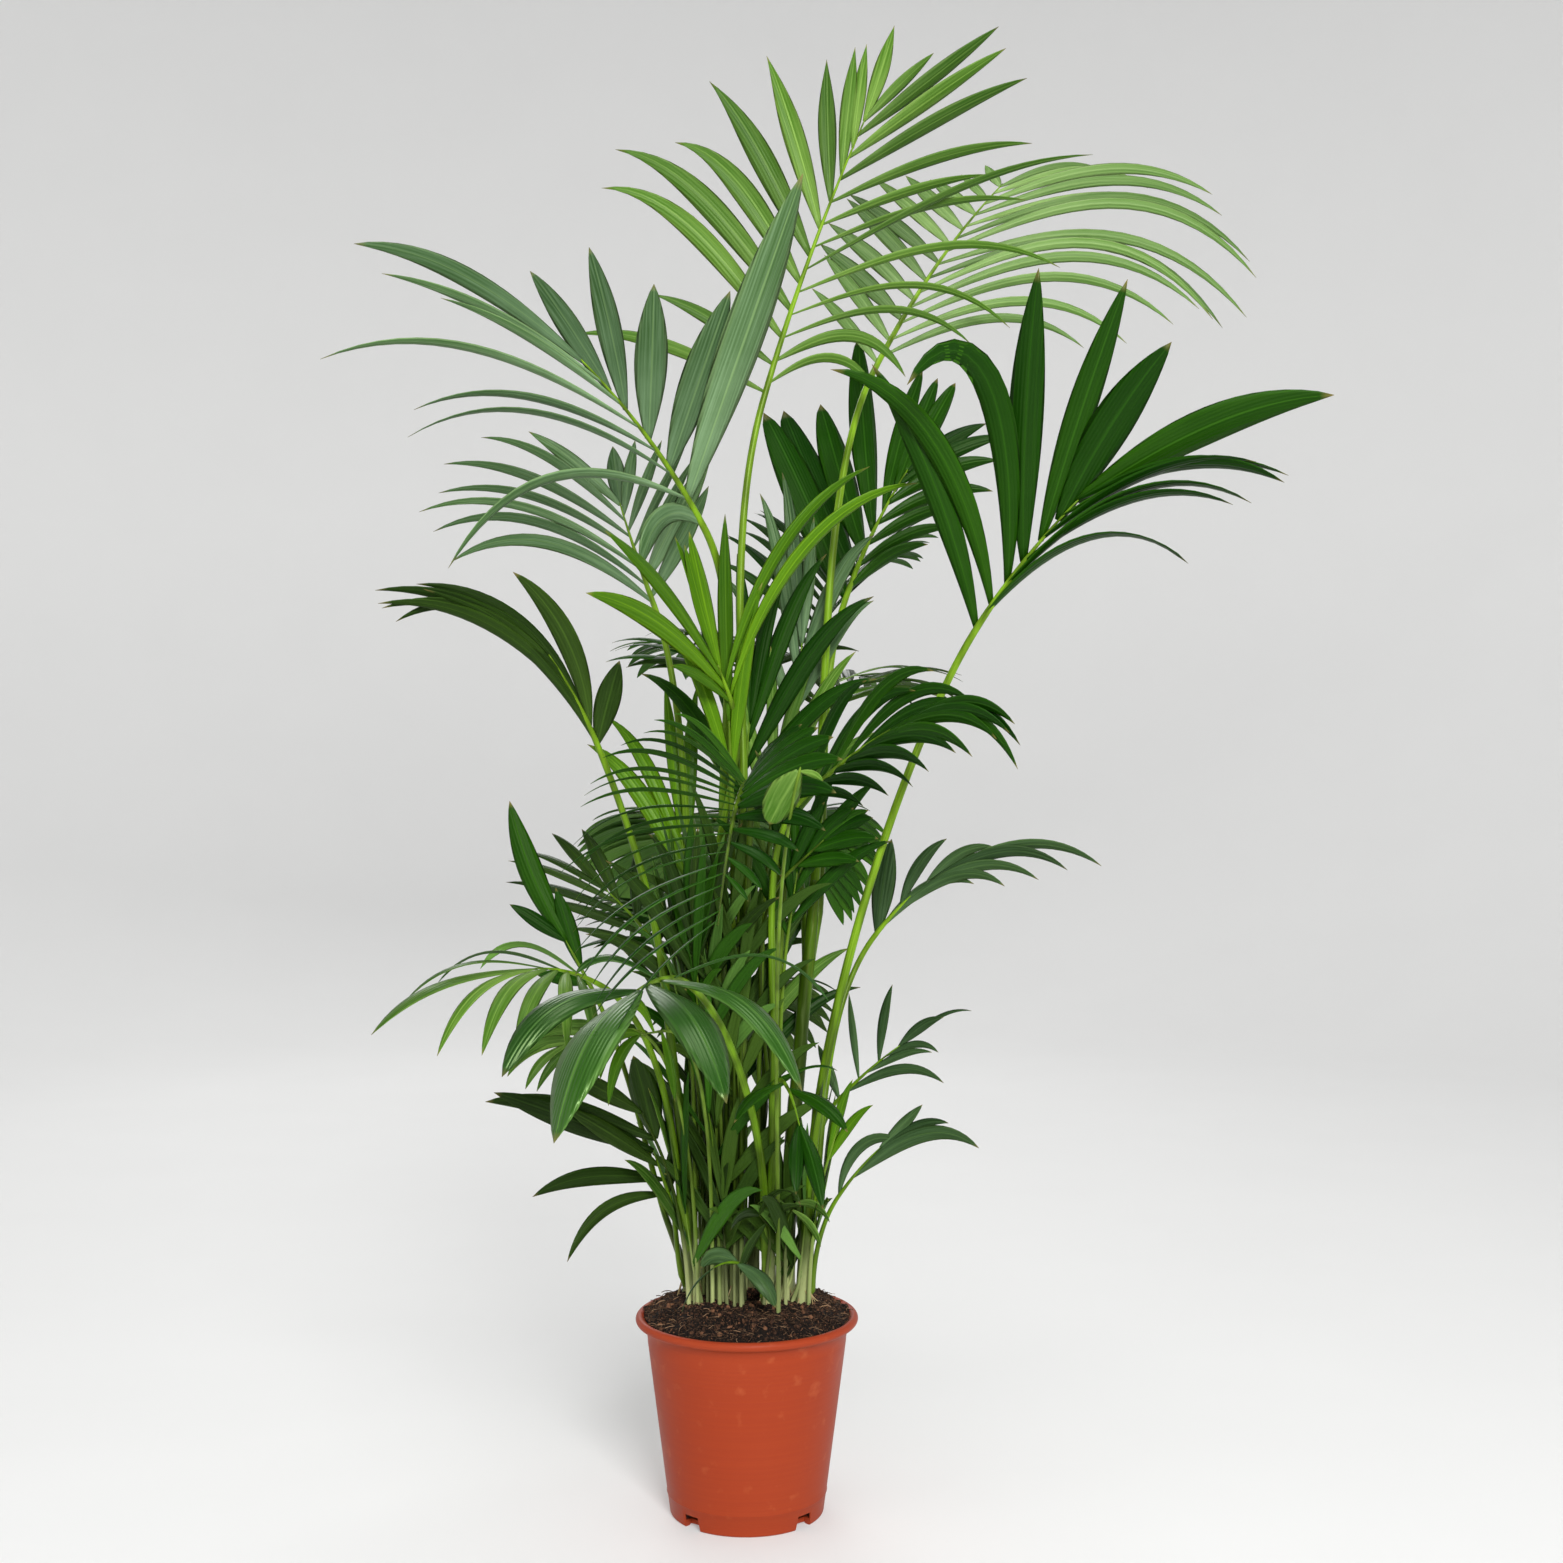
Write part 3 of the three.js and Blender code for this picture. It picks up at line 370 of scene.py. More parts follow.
# Younger fronds inside the clump, placed after the photograph.
add_young_frond(
    "bright", (-22, 22), 3.4, (-63, 40, 672), (-75, 50, 730),
    left=row(3, (16, 6, -4), (200, 190, 160), (22, 18, 14)), right=row(2, (14, 6), (200, 165), (18, 16)),
)
add_young_frond(
    "bright", (-16, -2), 4.4, (-16, -44, 790), (-18, -50, 850),
    left=row(2, (14, 2), (170, 210), (16, 17)), right=row(1, 8, 205, 17),
)
add_young_frond(
    "blue", (24, 6), 4, (54, 60, 850), (60, 66, 940),
    left=row(3, (24, 12, 6), (190, 215, 190), (17, 19, 18)),
    right=row(3, (20, 14, 4), (150, 180, 150), (17, 20, 16)),
)
add_young_frond(
    "deep", (-14, 14), 3.6, (-4, 14, 760), (2, 16, 850),
    left=row(3, (30, 18, 8), (190, 210, 180), (20, 22, 18)),
    right=row(4, (34, 26, 16, 6), (200, 240, 230, 180), (20, 22, 20, 18)),
)
add_young_frond(
    "fresh", (10, 24), 3.4, (22, 20, 700), (28, 20, 780),
    left=row(3, (26, 14, 4), (170, 190, 160), (17, 18, 14)),
    right=row(3, (30, 18, 6), (180, 200, 170), (17, 19, 15)),
)
add_young_frond(
    "deep", (34, -22), 3, (44, -30, 620), (54, -36, 690),
    left=row(3, (30, 18, 8), (150, 170, 140), (15, 17, 14)),
    right=row(3, (34, 20, 8), (140, 150, 130), (16, 18, 14)),
)
add_young_frond(
    "dark", (-40, -10), 3, (-48, -30, 540), (-56, -42, 610),
    left=row(3, (34, 22, 8), (150, 170, 140), (15, 17, 13)),
    right=row(3, (34, 20, 8), (150, 170, 140), (15, 18, 14)),
)
add_young_frond(
    "bright", (66, -24), 2.6, (86, -30, 380), (98, -34, 420),
    left=row(1, 2, 92, 11), right=row(1, 10, 84, 11),
)
add_young_frond(
    "fresh", (34, -50), 2.6, (54, -300, 795), (55, -301, 799),
    left=row(1, 160, 56, 35, 0.2, point=0.5), right=row(1, 84, 24, 7, 0.8),
)
add_young_frond(
    "bright", (-36, -34), 2.4, (-80, -188, 540), (-100, -214, 540),
    left=row(2, (80, 20), (70, 88), 14, 3), right=row(2, (70, 14), (84, 80), 14, 3),
)
add_young_frond(
    "fresh", (-52, -24), 2.4, (-128, -104, 530), (-178, -128, 520),
    left=row(4, (30, 8), (84, 70), 10, 1.2), right=row(4, (34, 10), (84, 76), 10, 1.2),
)
add_young_frond(
    "dark", (-62, -14), 2.8, (-98, -20, 402), (-112, -24, 432),
    left=row(2, (38, 30), (190, 100), (24, 20), 0.3), right=row(1, 12, 92, 32, 0.1),
)
add_young_frond(
    "dark", (18, -42), 2.2, (22, -62, 322), (14, -78, 334),
    left=row(2, (84, 20), (60, 54), (15, 14), 1.1),
    right=row(2, (96, 54), (44, 70), (13, 16), (0.6, 1.2)),
)
add_young_frond(
    "deep", (44, -6), 3, (46, -40, 690), (82, -48, 724),
    left=row(3, (26, 12, 0), (84, 74, 60), (17, 18, 16), 0.3),
    right=row(3, (30, 26, 10), (70, 74, 62), (18, 19, 16), 0.4),
)
add_young_frond(
    "fresh", (42, -30), 2.2, (46, -52, 330), (52, -66, 344),
    left=row(1, 60, 46, 12, 0.9), right=row(2, (80, 40), (48, 52), 13, 1),
)

# Stalks: how far the curve keeps its way at the foot and at the neck, as shares of its
# length, as in the CAD model, and the halvings that find where along its cane one leaves.
# SET_BACK is how far the right leaflets are behind the left, as a share of their gap.
FOOT_REACH = 0.35
NECK_REACH = 0.3
HALVINGS = 30
SET_BACK = 0.35

# How much a leaflet may differ from its row: as a share of the value, and as it is.
SPREAD = dict(
    angle=(0, 3), bend=(0, 5), fold=(0, 5), turn=(0, 8), length=(0.04, 0), width=(0.06, 0),
    droop=(0.12, 0.02),
)

# The CAD model's source of chance, and where each kind of piece starts in it.
CHANCE_START = (7919, 101)
CHANCE_STEP = 16807
CHANCE_ROUND = 2147483647
CANE_SEED = 40
SHOOT_SEED = 7
YOUNG_STEM_SEED = 3
YOUNG_LEAF_SEED = 60
FIBRE_SEED = 90

# Leaflets: sections along and across, and the shape of a section. A leaflet sags a
# little less for each step here, because it has more steps than the CAD one. The last
# two are what is left of the thickness and of the ridge at the tip.
LEAF_STEPS = 18
LEAF_COLUMNS = 7
LEAF_WIDEST = 0.52
LEAF_ROOT = 0.2
LEAF_TIP = 0.15
LEAF_SAG = 1.45
LEAF_THICK = 0.7
LEAF_RIDGE = 0.34
LEAF_PLEAT = 1.3
THICK_AT_TIP = 0.4
RIDGE_AT_TIP = 0.35

# Limbs. Old sheaths end in slanted rims up the cane, the first at FIRST_SHEATH give or take
# its second value. A stalk comes out of a sheath: INSIDE and BULGE are the sheath's size
# against its cane's, and CURVE how it leaves it. ANY_WAY is one that no limb starts along.
CANE_SIDES = 28
CANE_STEPS = 90
CANE_POINTS = 60
CANE_SUNK = 14
FLARE_FADE = 14
STALK_SIDES = 12
STALK_STEPS = 40
RIB_SIDES = 8
RIB_STEPS = 26
RIB_END = 0.22
STEM_TONE = -0.2
STALK_SWELL = 0.12
SWELL_FADE = 12
SHEATH_LENGTH = 95
SHEATH_SHARE = 0.7
SHEATH_INSIDE = 0.75
SHEATH_BULGE = 0.1
SHEATH_CURVE = 1.6
SHEATH_PARTS = 6
SHEATH_STEP = 0.9
SHEATH_SLANT = 26
SHEATH_SPACING = 95
SHEATH_UNEVEN = 0.3
SHEATH_FADE = 114
FIRST_SHEATH = (40, 12)
LAST_SHEATH = 20
RIPPLE_HEIGHT = 0.18
RIPPLE_TURN = 90
RIPPLES = 5
ANY_WAY = (0.3, 1, 0.2)

# Shoots made by rule: taller ones at the back, and short ones all round among the canes.
# sector is the part of the round that they take, in degrees, and ring how far out their
# feet are. lean is how far the tip leans out, of which the neck has NECK_LEAN, and upward
# how much their leaflets look up. Where the photograph has gaps between the stems, no foot
# is within CLUMP_GAP, and heights are kept to gap within SHOOT_GAP, both in x.
TALL_SHOOTS = dict(
    count=8, sector=(56, 124), ring=(30, 68), heights=(520, 960), gap=(780, 960), lean=(120, 230),
    arch=1, rise=50, bow=30, upward=2.3, radius=(2.6, 3.6), leaves=(6, 8), angle=(64, 14),
    length=(100, 165), width=(14, 19), droop=(0.6, 0.5),
)
SHORT_SHOOTS = dict(
    count=28, sector=(0, 360), ring=(12, 62), heights=(250, 600), gap=(0, 250), lean=(10, 44),
    arch=0.35, rise=62, bow=0, upward=1, radius=(1.8, 3.2), leaves=(2, 3), angle=(40, 10),
    length=(100, 180), width=(12, 19), droop=(0.5, 0.3),
)
RISE_SPREAD = 12
NECK_LEAN = 0.45
CLUMP_GAP = (-2, 27)
SHOOT_GAP = (2, 130)
SHOOT_CLEAR = 0.6
SHOOT_TRIES = 200
SHOOT_GREENS = ("deep", "dark", "fresh")
CLUMP_DEPTH = 0.62
GOLDEN_ANGLE = 137.5

# From shoot to shoot each value goes on by this share of its range, and round again.
PACES = dict(ring=0.57, radius=0.37, heights=0.754, lean=0.29, leaves=0.45, length=0.83, width=0.23)

# Stems of the younger fronds: the curve, and the radius at the foot, neck and tip.
YOUNG_FOOT_REACH = 0.45
YOUNG_NECK_REACH = 0.2
YOUNG_TAPER = (1, 0.6, 0.2)

# Dry threads at the feet of the canes: how many each has, the radii at their ends, and how
# high they start and how far out they end, each with how much that may differ.
FIBRES = 9
FIBRE_RADII = (0.75, 0.35)
FIBRE_START = (16, 11)
FIBRE_REACH = (9, 6)
FIBRE_SWAY = 14

# Greens of the leaflets: upper side, a paler green painted as sheen towards the base, midrib, underside.
GREENS = {
    "deep": ("#0a3000", "#1a4202", "#2e6010", "#2c580e"),
    "fresh": ("#30580e", "#6a8840", "#84a64e", "#4e7630"),
    "pale": ("#446828", "#84a064", "#90ac68", "#587c44"),
    "blue": ("#304e26", "#708c68", "#7a9860", "#4c6c40"),
    "sage": ("#22381a", "#486440", "#54743c", "#3a5430"),
    "dark": ("#182c08", "#2e4616", "#40601c", "#304a14"),
    "bright": ("#305804", "#507a0c", "#6c961c", "#486e1a"),
    "glossy": ("#1a4208", "#3e642c", "#689644", "#34661e"),
}
VEIN_SPACING = 3.6

# Stems: the colours of the foot, of the low and the high part and of what some lean to,
# the roughness, and the height in metres where the high part's colour is full. The canes'
# low and high greens are darkened past the canes' own green, as painted shade of the crown.
STEMS = {
    "kentia_cane_sheath": ("#b8c084", "#36520a", "#42620a", "#5c4526", 0.42, 0.45),
    "kentia_leaf_stalk": ("#66822a", "#52780c", "#749c1c", "#6c9030", 0.36, 0.5),
    "kentia_young_stem": ("#b8c084", "#38560a", "#5c8012", "#64802a", 0.4, 0.4),
}

# What is strewn on the compost: its shape, how many to a square metre, the smallest and
# largest, and the seed.
STREWN = {
    "compost_crumbs": ("crumb", 150000.0, 0.9, 2.8, 3),
    "compost_clods": ("crumb", 14000.0, 3.2, 8.5, 5),
    "compost_fibres": ("fibre", 34000.0, 7.0, 19.0, 11),
}

# The backdrop, and the lights with their places and sizes in metres and their power.
FLOOR_RINGS = (0, 1200, 2600)
FLOOR_REACH = 5500
FLOOR_BEND = 1800
WALL_HEIGHT = 4800
LIGHTS = {
    "key": ((0.8, -3.6, 2.3), 1.2, 168),
    "fill": ((-3.2, -1.6, 2.0), 2.0, 6),
    "top": ((0.2, -0.3, 4.4), 2.0, 60),
    "rear": ((-0.8, 3.6, 2.6), 2.0, 40),
}
LIGHT_AIM = (0, 0, 0.8)
SKY_POWER = 0.06

# Kinds of node that the materials use most. A RANGE node takes a value, its least and
# most, and what these two become. Scales of NOISE are to the metre, so that 24 makes
# patches of about 40 mm, and 340 makes grains of 3 mm.
ATTRIBUTE = "ShaderNodeAttribute"
BUMP = "ShaderNodeBump"
HUE = "ShaderNodeHueSaturation"
MATH = "ShaderNodeMath"
MIX = "ShaderNodeMix"
NOISE = "ShaderNodeTexNoise"
RANGE = "ShaderNodeMapRange"
VECTOR = "ShaderNodeVectorMath"


def mix(a, b, share):
    return a + (b - a) * share


def unit(vector):
    return vector / np.linalg.norm(vector)


def chance(seed):
    """The CAD model's repeatable source of chance, from -spread to spread.

    Its first three draws are thrown away, because they hang together with the seed.
    """
    state = (seed * CHANCE_START[0] + CHANCE_START[1]) % CHANCE_ROUND

    def draw(spread):
        nonlocal state
        state = (state * CHANCE_STEP) % CHANCE_ROUND
        return (state / CHANCE_ROUND * 2 - 1) * spread

    for _ in range(3):
        draw(1)
    return draw


def curve_at(handles, share):
    """A point on the smooth curve that its handles shape, and the way there."""
    points = np.array(handles, float)
    while len(points) > 2:
        points = points[:-1] + (points[1:] - points[:-1]) * share
    return points[0] + (points[1] - points[0]) * share, unit(points[1] - points[0])


def curve_points(handles, count):
    return np.array([curve_at(handles, i / count)[0] for i in range(count + 1)])


def turned(vector, axis, angle):
    """The vector turned about an axis of length one."""
    across = np.cross(axis, vector)
    return (
        vector * math.cos(angle) + across * math.sin(angle)
        + axis * np.dot(axis, vector) * (1 - math.cos(angle))
    )


def cane_handles(cane):
    base = np.array([*cane["foot"], SOIL_CROWN + GAP], float)
    top = np.array(cane["tip"], float)
    rise = np.array([0, 0, np.linalg.norm(top - base) * CANE_UPRIGHT])
    return [base, base + rise, top - (top - base) * CANE_LEAN, top]


def cane_radius(cane, share):
    return mix(*cane["radii"], share) * (CANE_FLARE if share == 0 else 1)


def cane_share(cane, height):
    """Where along a cane a height is reached."""
    low, high = 0, 1
    for _ in range(HALVINGS):
        share = (low + high) / 2
        if curve_at(cane["handles"], share)[0][2] < height:
            low = share
        else:
            high = share
    return (low + high) / 2


def rib_handles(frond):
    neck, tip = np.array(frond["neck"], float), np.array(frond["tip"], float)
    return [neck, (neck + tip) / 2 + np.array(frond.get("bow", (0, 0, 0))), tip]


def stalk_seat(frond):
    """The cane that carries a frond, and where along it the stalk leaves."""
    cane = CANES[frond["cane"]]
    return cane, 1 if frond["at"] == "tip" else cane_share(cane, frond["at"])


def stalk_handles(frond, rib):
    cane, share = stalk_seat(frond)
    neck, onto = curve_at(rib, 0)
    middle, along = curve_at(cane["handles"], share)
    out = unit((neck - middle) * [1, 1, 0])
    out = turned(out, np.array([0, 0, 1.0]), math.radians(frond.get("foot_turn", 0)))
    if frond["at"] == "tip":
        start = middle + along * GAP
    else:
        start = middle + out * (cane_radius(cane, share) + frond["stalk"][0] + 2 * GAP)
    length = np.linalg.norm(neck - start)
    first = start + along * length * FOOT_REACH + out * frond.get("foot_push", 0)
    last = neck - onto * length * frond.get("neck_reach", NECK_REACH)
    return [start, first, last, neck]


def along_row(values, u):
    """A value part of the way along a row."""
    values = np.atleast_1d(values)
    return float(np.interp(u, np.linspace(0, 1, len(values)), values))


def leaf_share(s, point):
    """Half width of a leaflet along its length, as a share of its widest."""
    if s < LEAF_WIDEST:
        return mix(LEAF_ROOT, 1, math.sin(s / LEAF_WIDEST * math.pi / 2))
    return max(0, math.cos((s - LEAF_WIDEST) / (1 - LEAF_WIDEST) * math.pi / 2)) ** point


def leaflets(frond, rib, draw):
    """The leaflets of one frond: where each starts, its way, its face and its sizes.

    The right row is set back against the left, all but its last leaflet.
    """
    face = np.array(frond["face"], float)
    for side, entry in ((-1, frond["left"]), (1, frond["right"])):
        gaps = max(1, entry["leaves"] - 1)
        for i in range(entry["leaves"]):
            u = i / gaps
            here = {key: along_row(entry[key], u) for key in SPREAD}
            for key, (share, step) in SPREAD.items():
                here[key] += draw(1) * (abs(here[key]) * share + step)
            shift = SET_BACK / gaps if side > 0 and i < entry["leaves"] - 1 else 0
            base, along = curve_at(rib, mix(entry["begin"], entry["finish"], min(1, u + shift)))
            up = unit(face - along * np.dot(face, along))
            yield dict(
                base=base, along=along, up=up, across=np.cross(along, up) * side, side=side,
                point=entry["point"], shade=draw(1), **here,
            )


class Skin:
    """Rings of points that are gathered into one mesh, with what the materials read.

    That is a point's place on its leaflet or limb, the shade of the whole leaflet or
    limb, from -1 to 1, and whether a face is on the underside.
    """

    def __init__(self):
        self.points, self.faces, self.places, self.values, self.under = [], [], [], [], []

    def loft(self, rings, places, value, under=None):
        """A closed surface through rings of points, with a place for each."""
        first = len(self.points)
        count = len(rings[0])
        for ring, place in zip(rings, places):
            self.points.extend(ring)
            self.places.extend(place)
        self.values.extend([value] * count * len(rings))
        for k in range(len(rings) - 1):
            for i in range(count):
                j = (i + 1) % count
                a, b = first + k * count, first + (k + 1) * count
                self.faces.append((a + i, a + j, b + j, b + i))
                self.under.append(bool(under and under(i)))
        last = first + (len(rings) - 1) * count
        self.faces.append(tuple(first + i for i in reversed(range(count))))
        self.faces.append(tuple(last + i for i in range(count)))
        self.under.extend([False, False])

    def mesh(self, name, material):
        mesh = bpy.data.meshes.new(name)
        mesh.from_pydata(np.array(self.points) * MM, [], self.faces)
        for label, kind, domain, key, values in (
            ("place", "FLOAT_VECTOR", "POINT", "vector", self.places),
            ("shade", "FLOAT", "POINT", "value", self.values),
            ("under", "FLOAT", "FACE", "value", self.under),
        ):
            layer = mesh.attributes.new(label, kind, domain)
            layer.data.foreach_set(key, np.array(values, np.float32).ravel())
        mesh.shade_smooth()
        mesh.materials.append(material)
        mesh.validate()
        return show(name, mesh)


def show(name, mesh):
    piece = bpy.data.objects.new(name, mesh)
    bpy.context.scene.collection.objects.link(piece)
    return piece


def finish_piece(piece, slot, *nodes):
    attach(piece, "root")
    if nodes:
        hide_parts(*nodes)


def leaf_way(leaf, share):
    """The way a leaflet points, before it sags. It bends away from the rib."""
    angle = math.radians(leaf["angle"] + leaf["bend"] * share)
    fold = math.radians(leaf["fold"])
    out = leaf["across"] * math.cos(fold) + leaf["up"] * math.sin(fold)
    return leaf["along"] * math.cos(angle) + out * math.sin(angle)


def add_leaf(skin, leaf):
    """One leaflet: a thin closed strip, ridged along its midrib, that bends down.

    A point's place is how far across it is in metres, and its shares along and across.
    """
    fold = math.radians(leaf["fold"])
    way = leaf_way(leaf, 0)
    look = leaf["up"] * math.cos(fold) - leaf["across"] * math.sin(fold)
    look = turned(unit(look - way * np.dot(look, way)), way, math.radians(leaf["turn"]) * leaf["side"])
    point = leaf["base"].copy()
    columns = np.linspace(-1, 1, LEAF_COLUMNS)
    ring_columns = np.concatenate([columns, columns[-2:0:-1]])
    upper = np.arange(len(ring_columns)) < LEAF_COLUMNS
    edge = np.abs(ring_columns) == 1
    rings, places = [], []
    step = leaf["length"] / LEAF_STEPS
    for k in range(LEAF_STEPS + 1):
        s = k / LEAF_STEPS
        heading = unit(leaf_way(leaf, s) - np.array([0, 0, LEAF_SAG * leaf["droop"] * s * s]))
        normal = unit(look - heading * np.dot(look, heading))
        side = np.cross(heading, normal)
        half = max(leaf["width"] / 2 * leaf_share(s, leaf["point"]), LEAF_TIP)
        ridge = LEAF_RIDGE * mix(1, RIDGE_AT_TIP, s) * half
        thick = LEAF_THICK * mix(1, THICK_AT_TIP, s) * np.where(edge, 0, np.where(upper, 0.5, -0.5))
        depth = thick - ridge * np.abs(ring_columns) ** LEAF_PLEAT
        rings.append(point + np.outer(ring_columns * half, side) + np.outer(depth, normal))
        places.append([(x * half * MM, s, x) for x in ring_columns])
        point = point + heading * step
    skin.loft(rings, places, leaf["shade"], under=lambda i: i >= LEAF_COLUMNS - 1)


def limb_frames(path):
    """The way along a path, and a pair of directions across it that never twist."""
    ways = np.gradient(path, axis=0)
    ways /= np.linalg.norm(ways, axis=1)[:, None]
    across = unit(np.cross(ways[0], ANY_WAY))
    for way in ways:
        across = unit(across - way * np.dot(across, way))
        yield across, np.cross(way, across)


def run_along(path):
    """How far along a path each of its points is."""
    return np.concatenate([[0], np.cumsum(np.linalg.norm(np.diff(path, axis=0), axis=1))])


def add_limb(skin, path, radii, sides, value=0.0, relief=None):
    """A tapering limb along a path. relief adds to its radius, by height and angle.

    A point's place is its way round, as a pair, and its height along the limb in metres.
    """
    rings, places = [], []
    angles = np.linspace(0, 2 * np.pi, sides, endpoint=False)
    for (across, other), middle, radius, length in zip(limb_frames(path), path, radii, run_along(path)):
        reach = radius + (relief(length, angles) if relief else 0)
        rings.append(
            middle + np.outer(np.cos(angles) * reach, across) + np.outer(np.sin(angles) * reach, other)
        )
        places.append([(math.cos(a), math.sin(a), length * MM) for a in angles])
    skin.loft(rings, places, value)


def even(path, count):
    """The same path with evenly spaced points."""
    run = run_along(path)
    wanted = np.linspace(0, run[-1], count)
    return np.column_stack([np.interp(wanted, run, path[:, i]) for i in range(path.shape[1])])


def cane_piece(name, cane, material):
    """A cane in the sheaths of its old leaves, each one's slanted rim standing out."""
    draw = chance(int(name.split("_")[1]) + CANE_SEED)
    path = curve_points(cane["handles"], CANE_POINTS)
    path = even(np.vstack([path[0] - [0, 0, CANE_SUNK], path]), CANE_STEPS)
    share = np.linspace(0, 1, CANE_STEPS)
    radii = mix(*cane["radii"], share) * (1 + (CANE_FLARE - 1) * np.exp(-share * FLARE_FADE))
    rims, height = [], FIRST_SHEATH[0] + draw(FIRST_SHEATH[1])
    while height < run_along(path)[-1] - LAST_SHEATH:
        rims.append((height, draw(math.pi)))
        height += SHEATH_SPACING * (1 + draw(SHEATH_UNEVEN))

    def relief(run, angles):
        total = np.zeros(len(angles))
        for height, phase in rims:
            past = run - height - SHEATH_SLANT * np.cos(angles - phase)
            total += np.where(past < 0, np.clip(1 + past / SHEATH_FADE, 0, 1), 0) * SHEATH_STEP
        return total + RIPPLE_HEIGHT * np.sin(angles * RIPPLES + run / RIPPLE_TURN)

    skin = Skin()
    add_limb(skin, path, radii, CANE_SIDES, relief=relief)
    finish_piece(skin.mesh(f"sheathed_{name}", material), "cane", name)


def stem_path(frond, stalk, rib):
    """The visible stalk: out of its cane's sheath, up to the neck and on as the rib."""
    cane, share = stalk_seat(frond)
    foot, neck = frond["stalk"]
    at_tip = frond["at"] == "tip"
    seat, _ = curve_at(cane["handles"], share)
    reach = min(SHEATH_LENGTH, (seat[2] - SOIL_CROWN) * SHEATH_SHARE)
    parts = []
    for i in range(SHEATH_PARTS):
        step = i / SHEATH_PARTS
        height = seat[2] - reach * (1 - step)
        middle, _ = curve_at(cane["handles"], cane_share(cane, height))
        bulge = SHEATH_INSIDE if at_tip else 1 + SHEATH_BULGE * step
        if not at_tip:
            middle = middle + (stalk[0] - seat) * step ** SHEATH_CURVE
        parts.append([*middle, mix(cane_radius(cane, share) * bulge, foot * (1 + STALK_SWELL), step)])
    for i in range(STALK_STEPS + 1):
        s = i / STALK_STEPS
        swell = 1 + STALK_SWELL * math.exp(-s * SWELL_FADE)
        parts.append([*curve_at(stalk, s)[0], mix(foot, neck, s) * swell])
    for i in range(1, RIB_STEPS + 1):
        s = i / RIB_STEPS
        parts.append([*curve_at(rib, s)[0], neck * mix(1, RIB_END, s)])
    return even(np.array(parts), STALK_STEPS + RIB_STEPS)


def frond_pieces(index, name, frond, stalk_look, leaf_look):
    """A frond's stem, which is stalk and rib in one, and its leaflets."""
    rib = rib_handles(frond)
    stem = stem_path(frond, stalk_handles(frond, rib), rib)
    stem_skin, leaf_skin = Skin(), Skin()
    add_limb(stem_skin, stem[:, :3], stem[:, 3], STALK_SIDES, value=frond.get("stem_tone", STEM_TONE))
    for leaf in leaflets(frond, rib, chance(index)):
        add_leaf(leaf_skin, leaf)
    nodes = [f"frond_{name}"] * 2 if frond.get("whole") else [f"stalk_{name}", f"blade_{name}"]
    finish_piece(stem_skin.mesh(f"stem_{name}", stalk_look), "stalk", nodes[0])
    finish_piece(leaf_skin.mesh(f"leaflets_{name}", leaf_look), "frond", nodes[1])


def shoots_by_rule(rule, feet, draw):
    """Shoots that go round the clump by the golden angle, clear of the feet before them."""
    shoots = []
    first, last = rule["sector"]

    def pick(key):
        return mix(*rule[key], (i * PACES[key]) % 1)

    for i in range(SHOOT_TRIES):
        angle = math.radians(first + (i * GOLDEN_ANGLE) % (last - first))
        out = np.array([math.cos(angle), math.sin(angle)])
        foot = out * pick("ring") * [1, CLUMP_DEPTH]
        radius = pick("radius")
        room = min(np.linalg.norm(foot - other) - reach for other, reach in feet)
        if room < radius + SHOOT_CLEAR or CLUMP_GAP[0] < foot[0] < CLUMP_GAP[1]:
            continue
        feet.append((foot, radius))
        height, lean = pick("heights"), pick("lean")
        beside = foot + out * lean * NECK_LEAN
        if SHOOT_GAP[0] < beside[0] < SHOOT_GAP[1]:
            height = min(max(height, rule["gap"][0]), rule["gap"][1])
        neck = np.array([*beside, height])
        both = row(round(pick("leaves")), rule["angle"], pick("length"), pick("width"), rule["droop"])
        shoots.append(dict(
            green=SHOOT_GREENS[i % len(SHOOT_GREENS)], foot=foot, radius=radius, neck=neck,
            tip=neck + [*(out * lean * rule["arch"]), rule["rise"] + draw(RISE_SPREAD)],
            bow=(0, 0, rule["bow"]), face=(-out[0], -out[1], rule["upward"]), left=both, right=both,
        ))
        if len(shoots) == rule["count"]:
            break
    return shoots


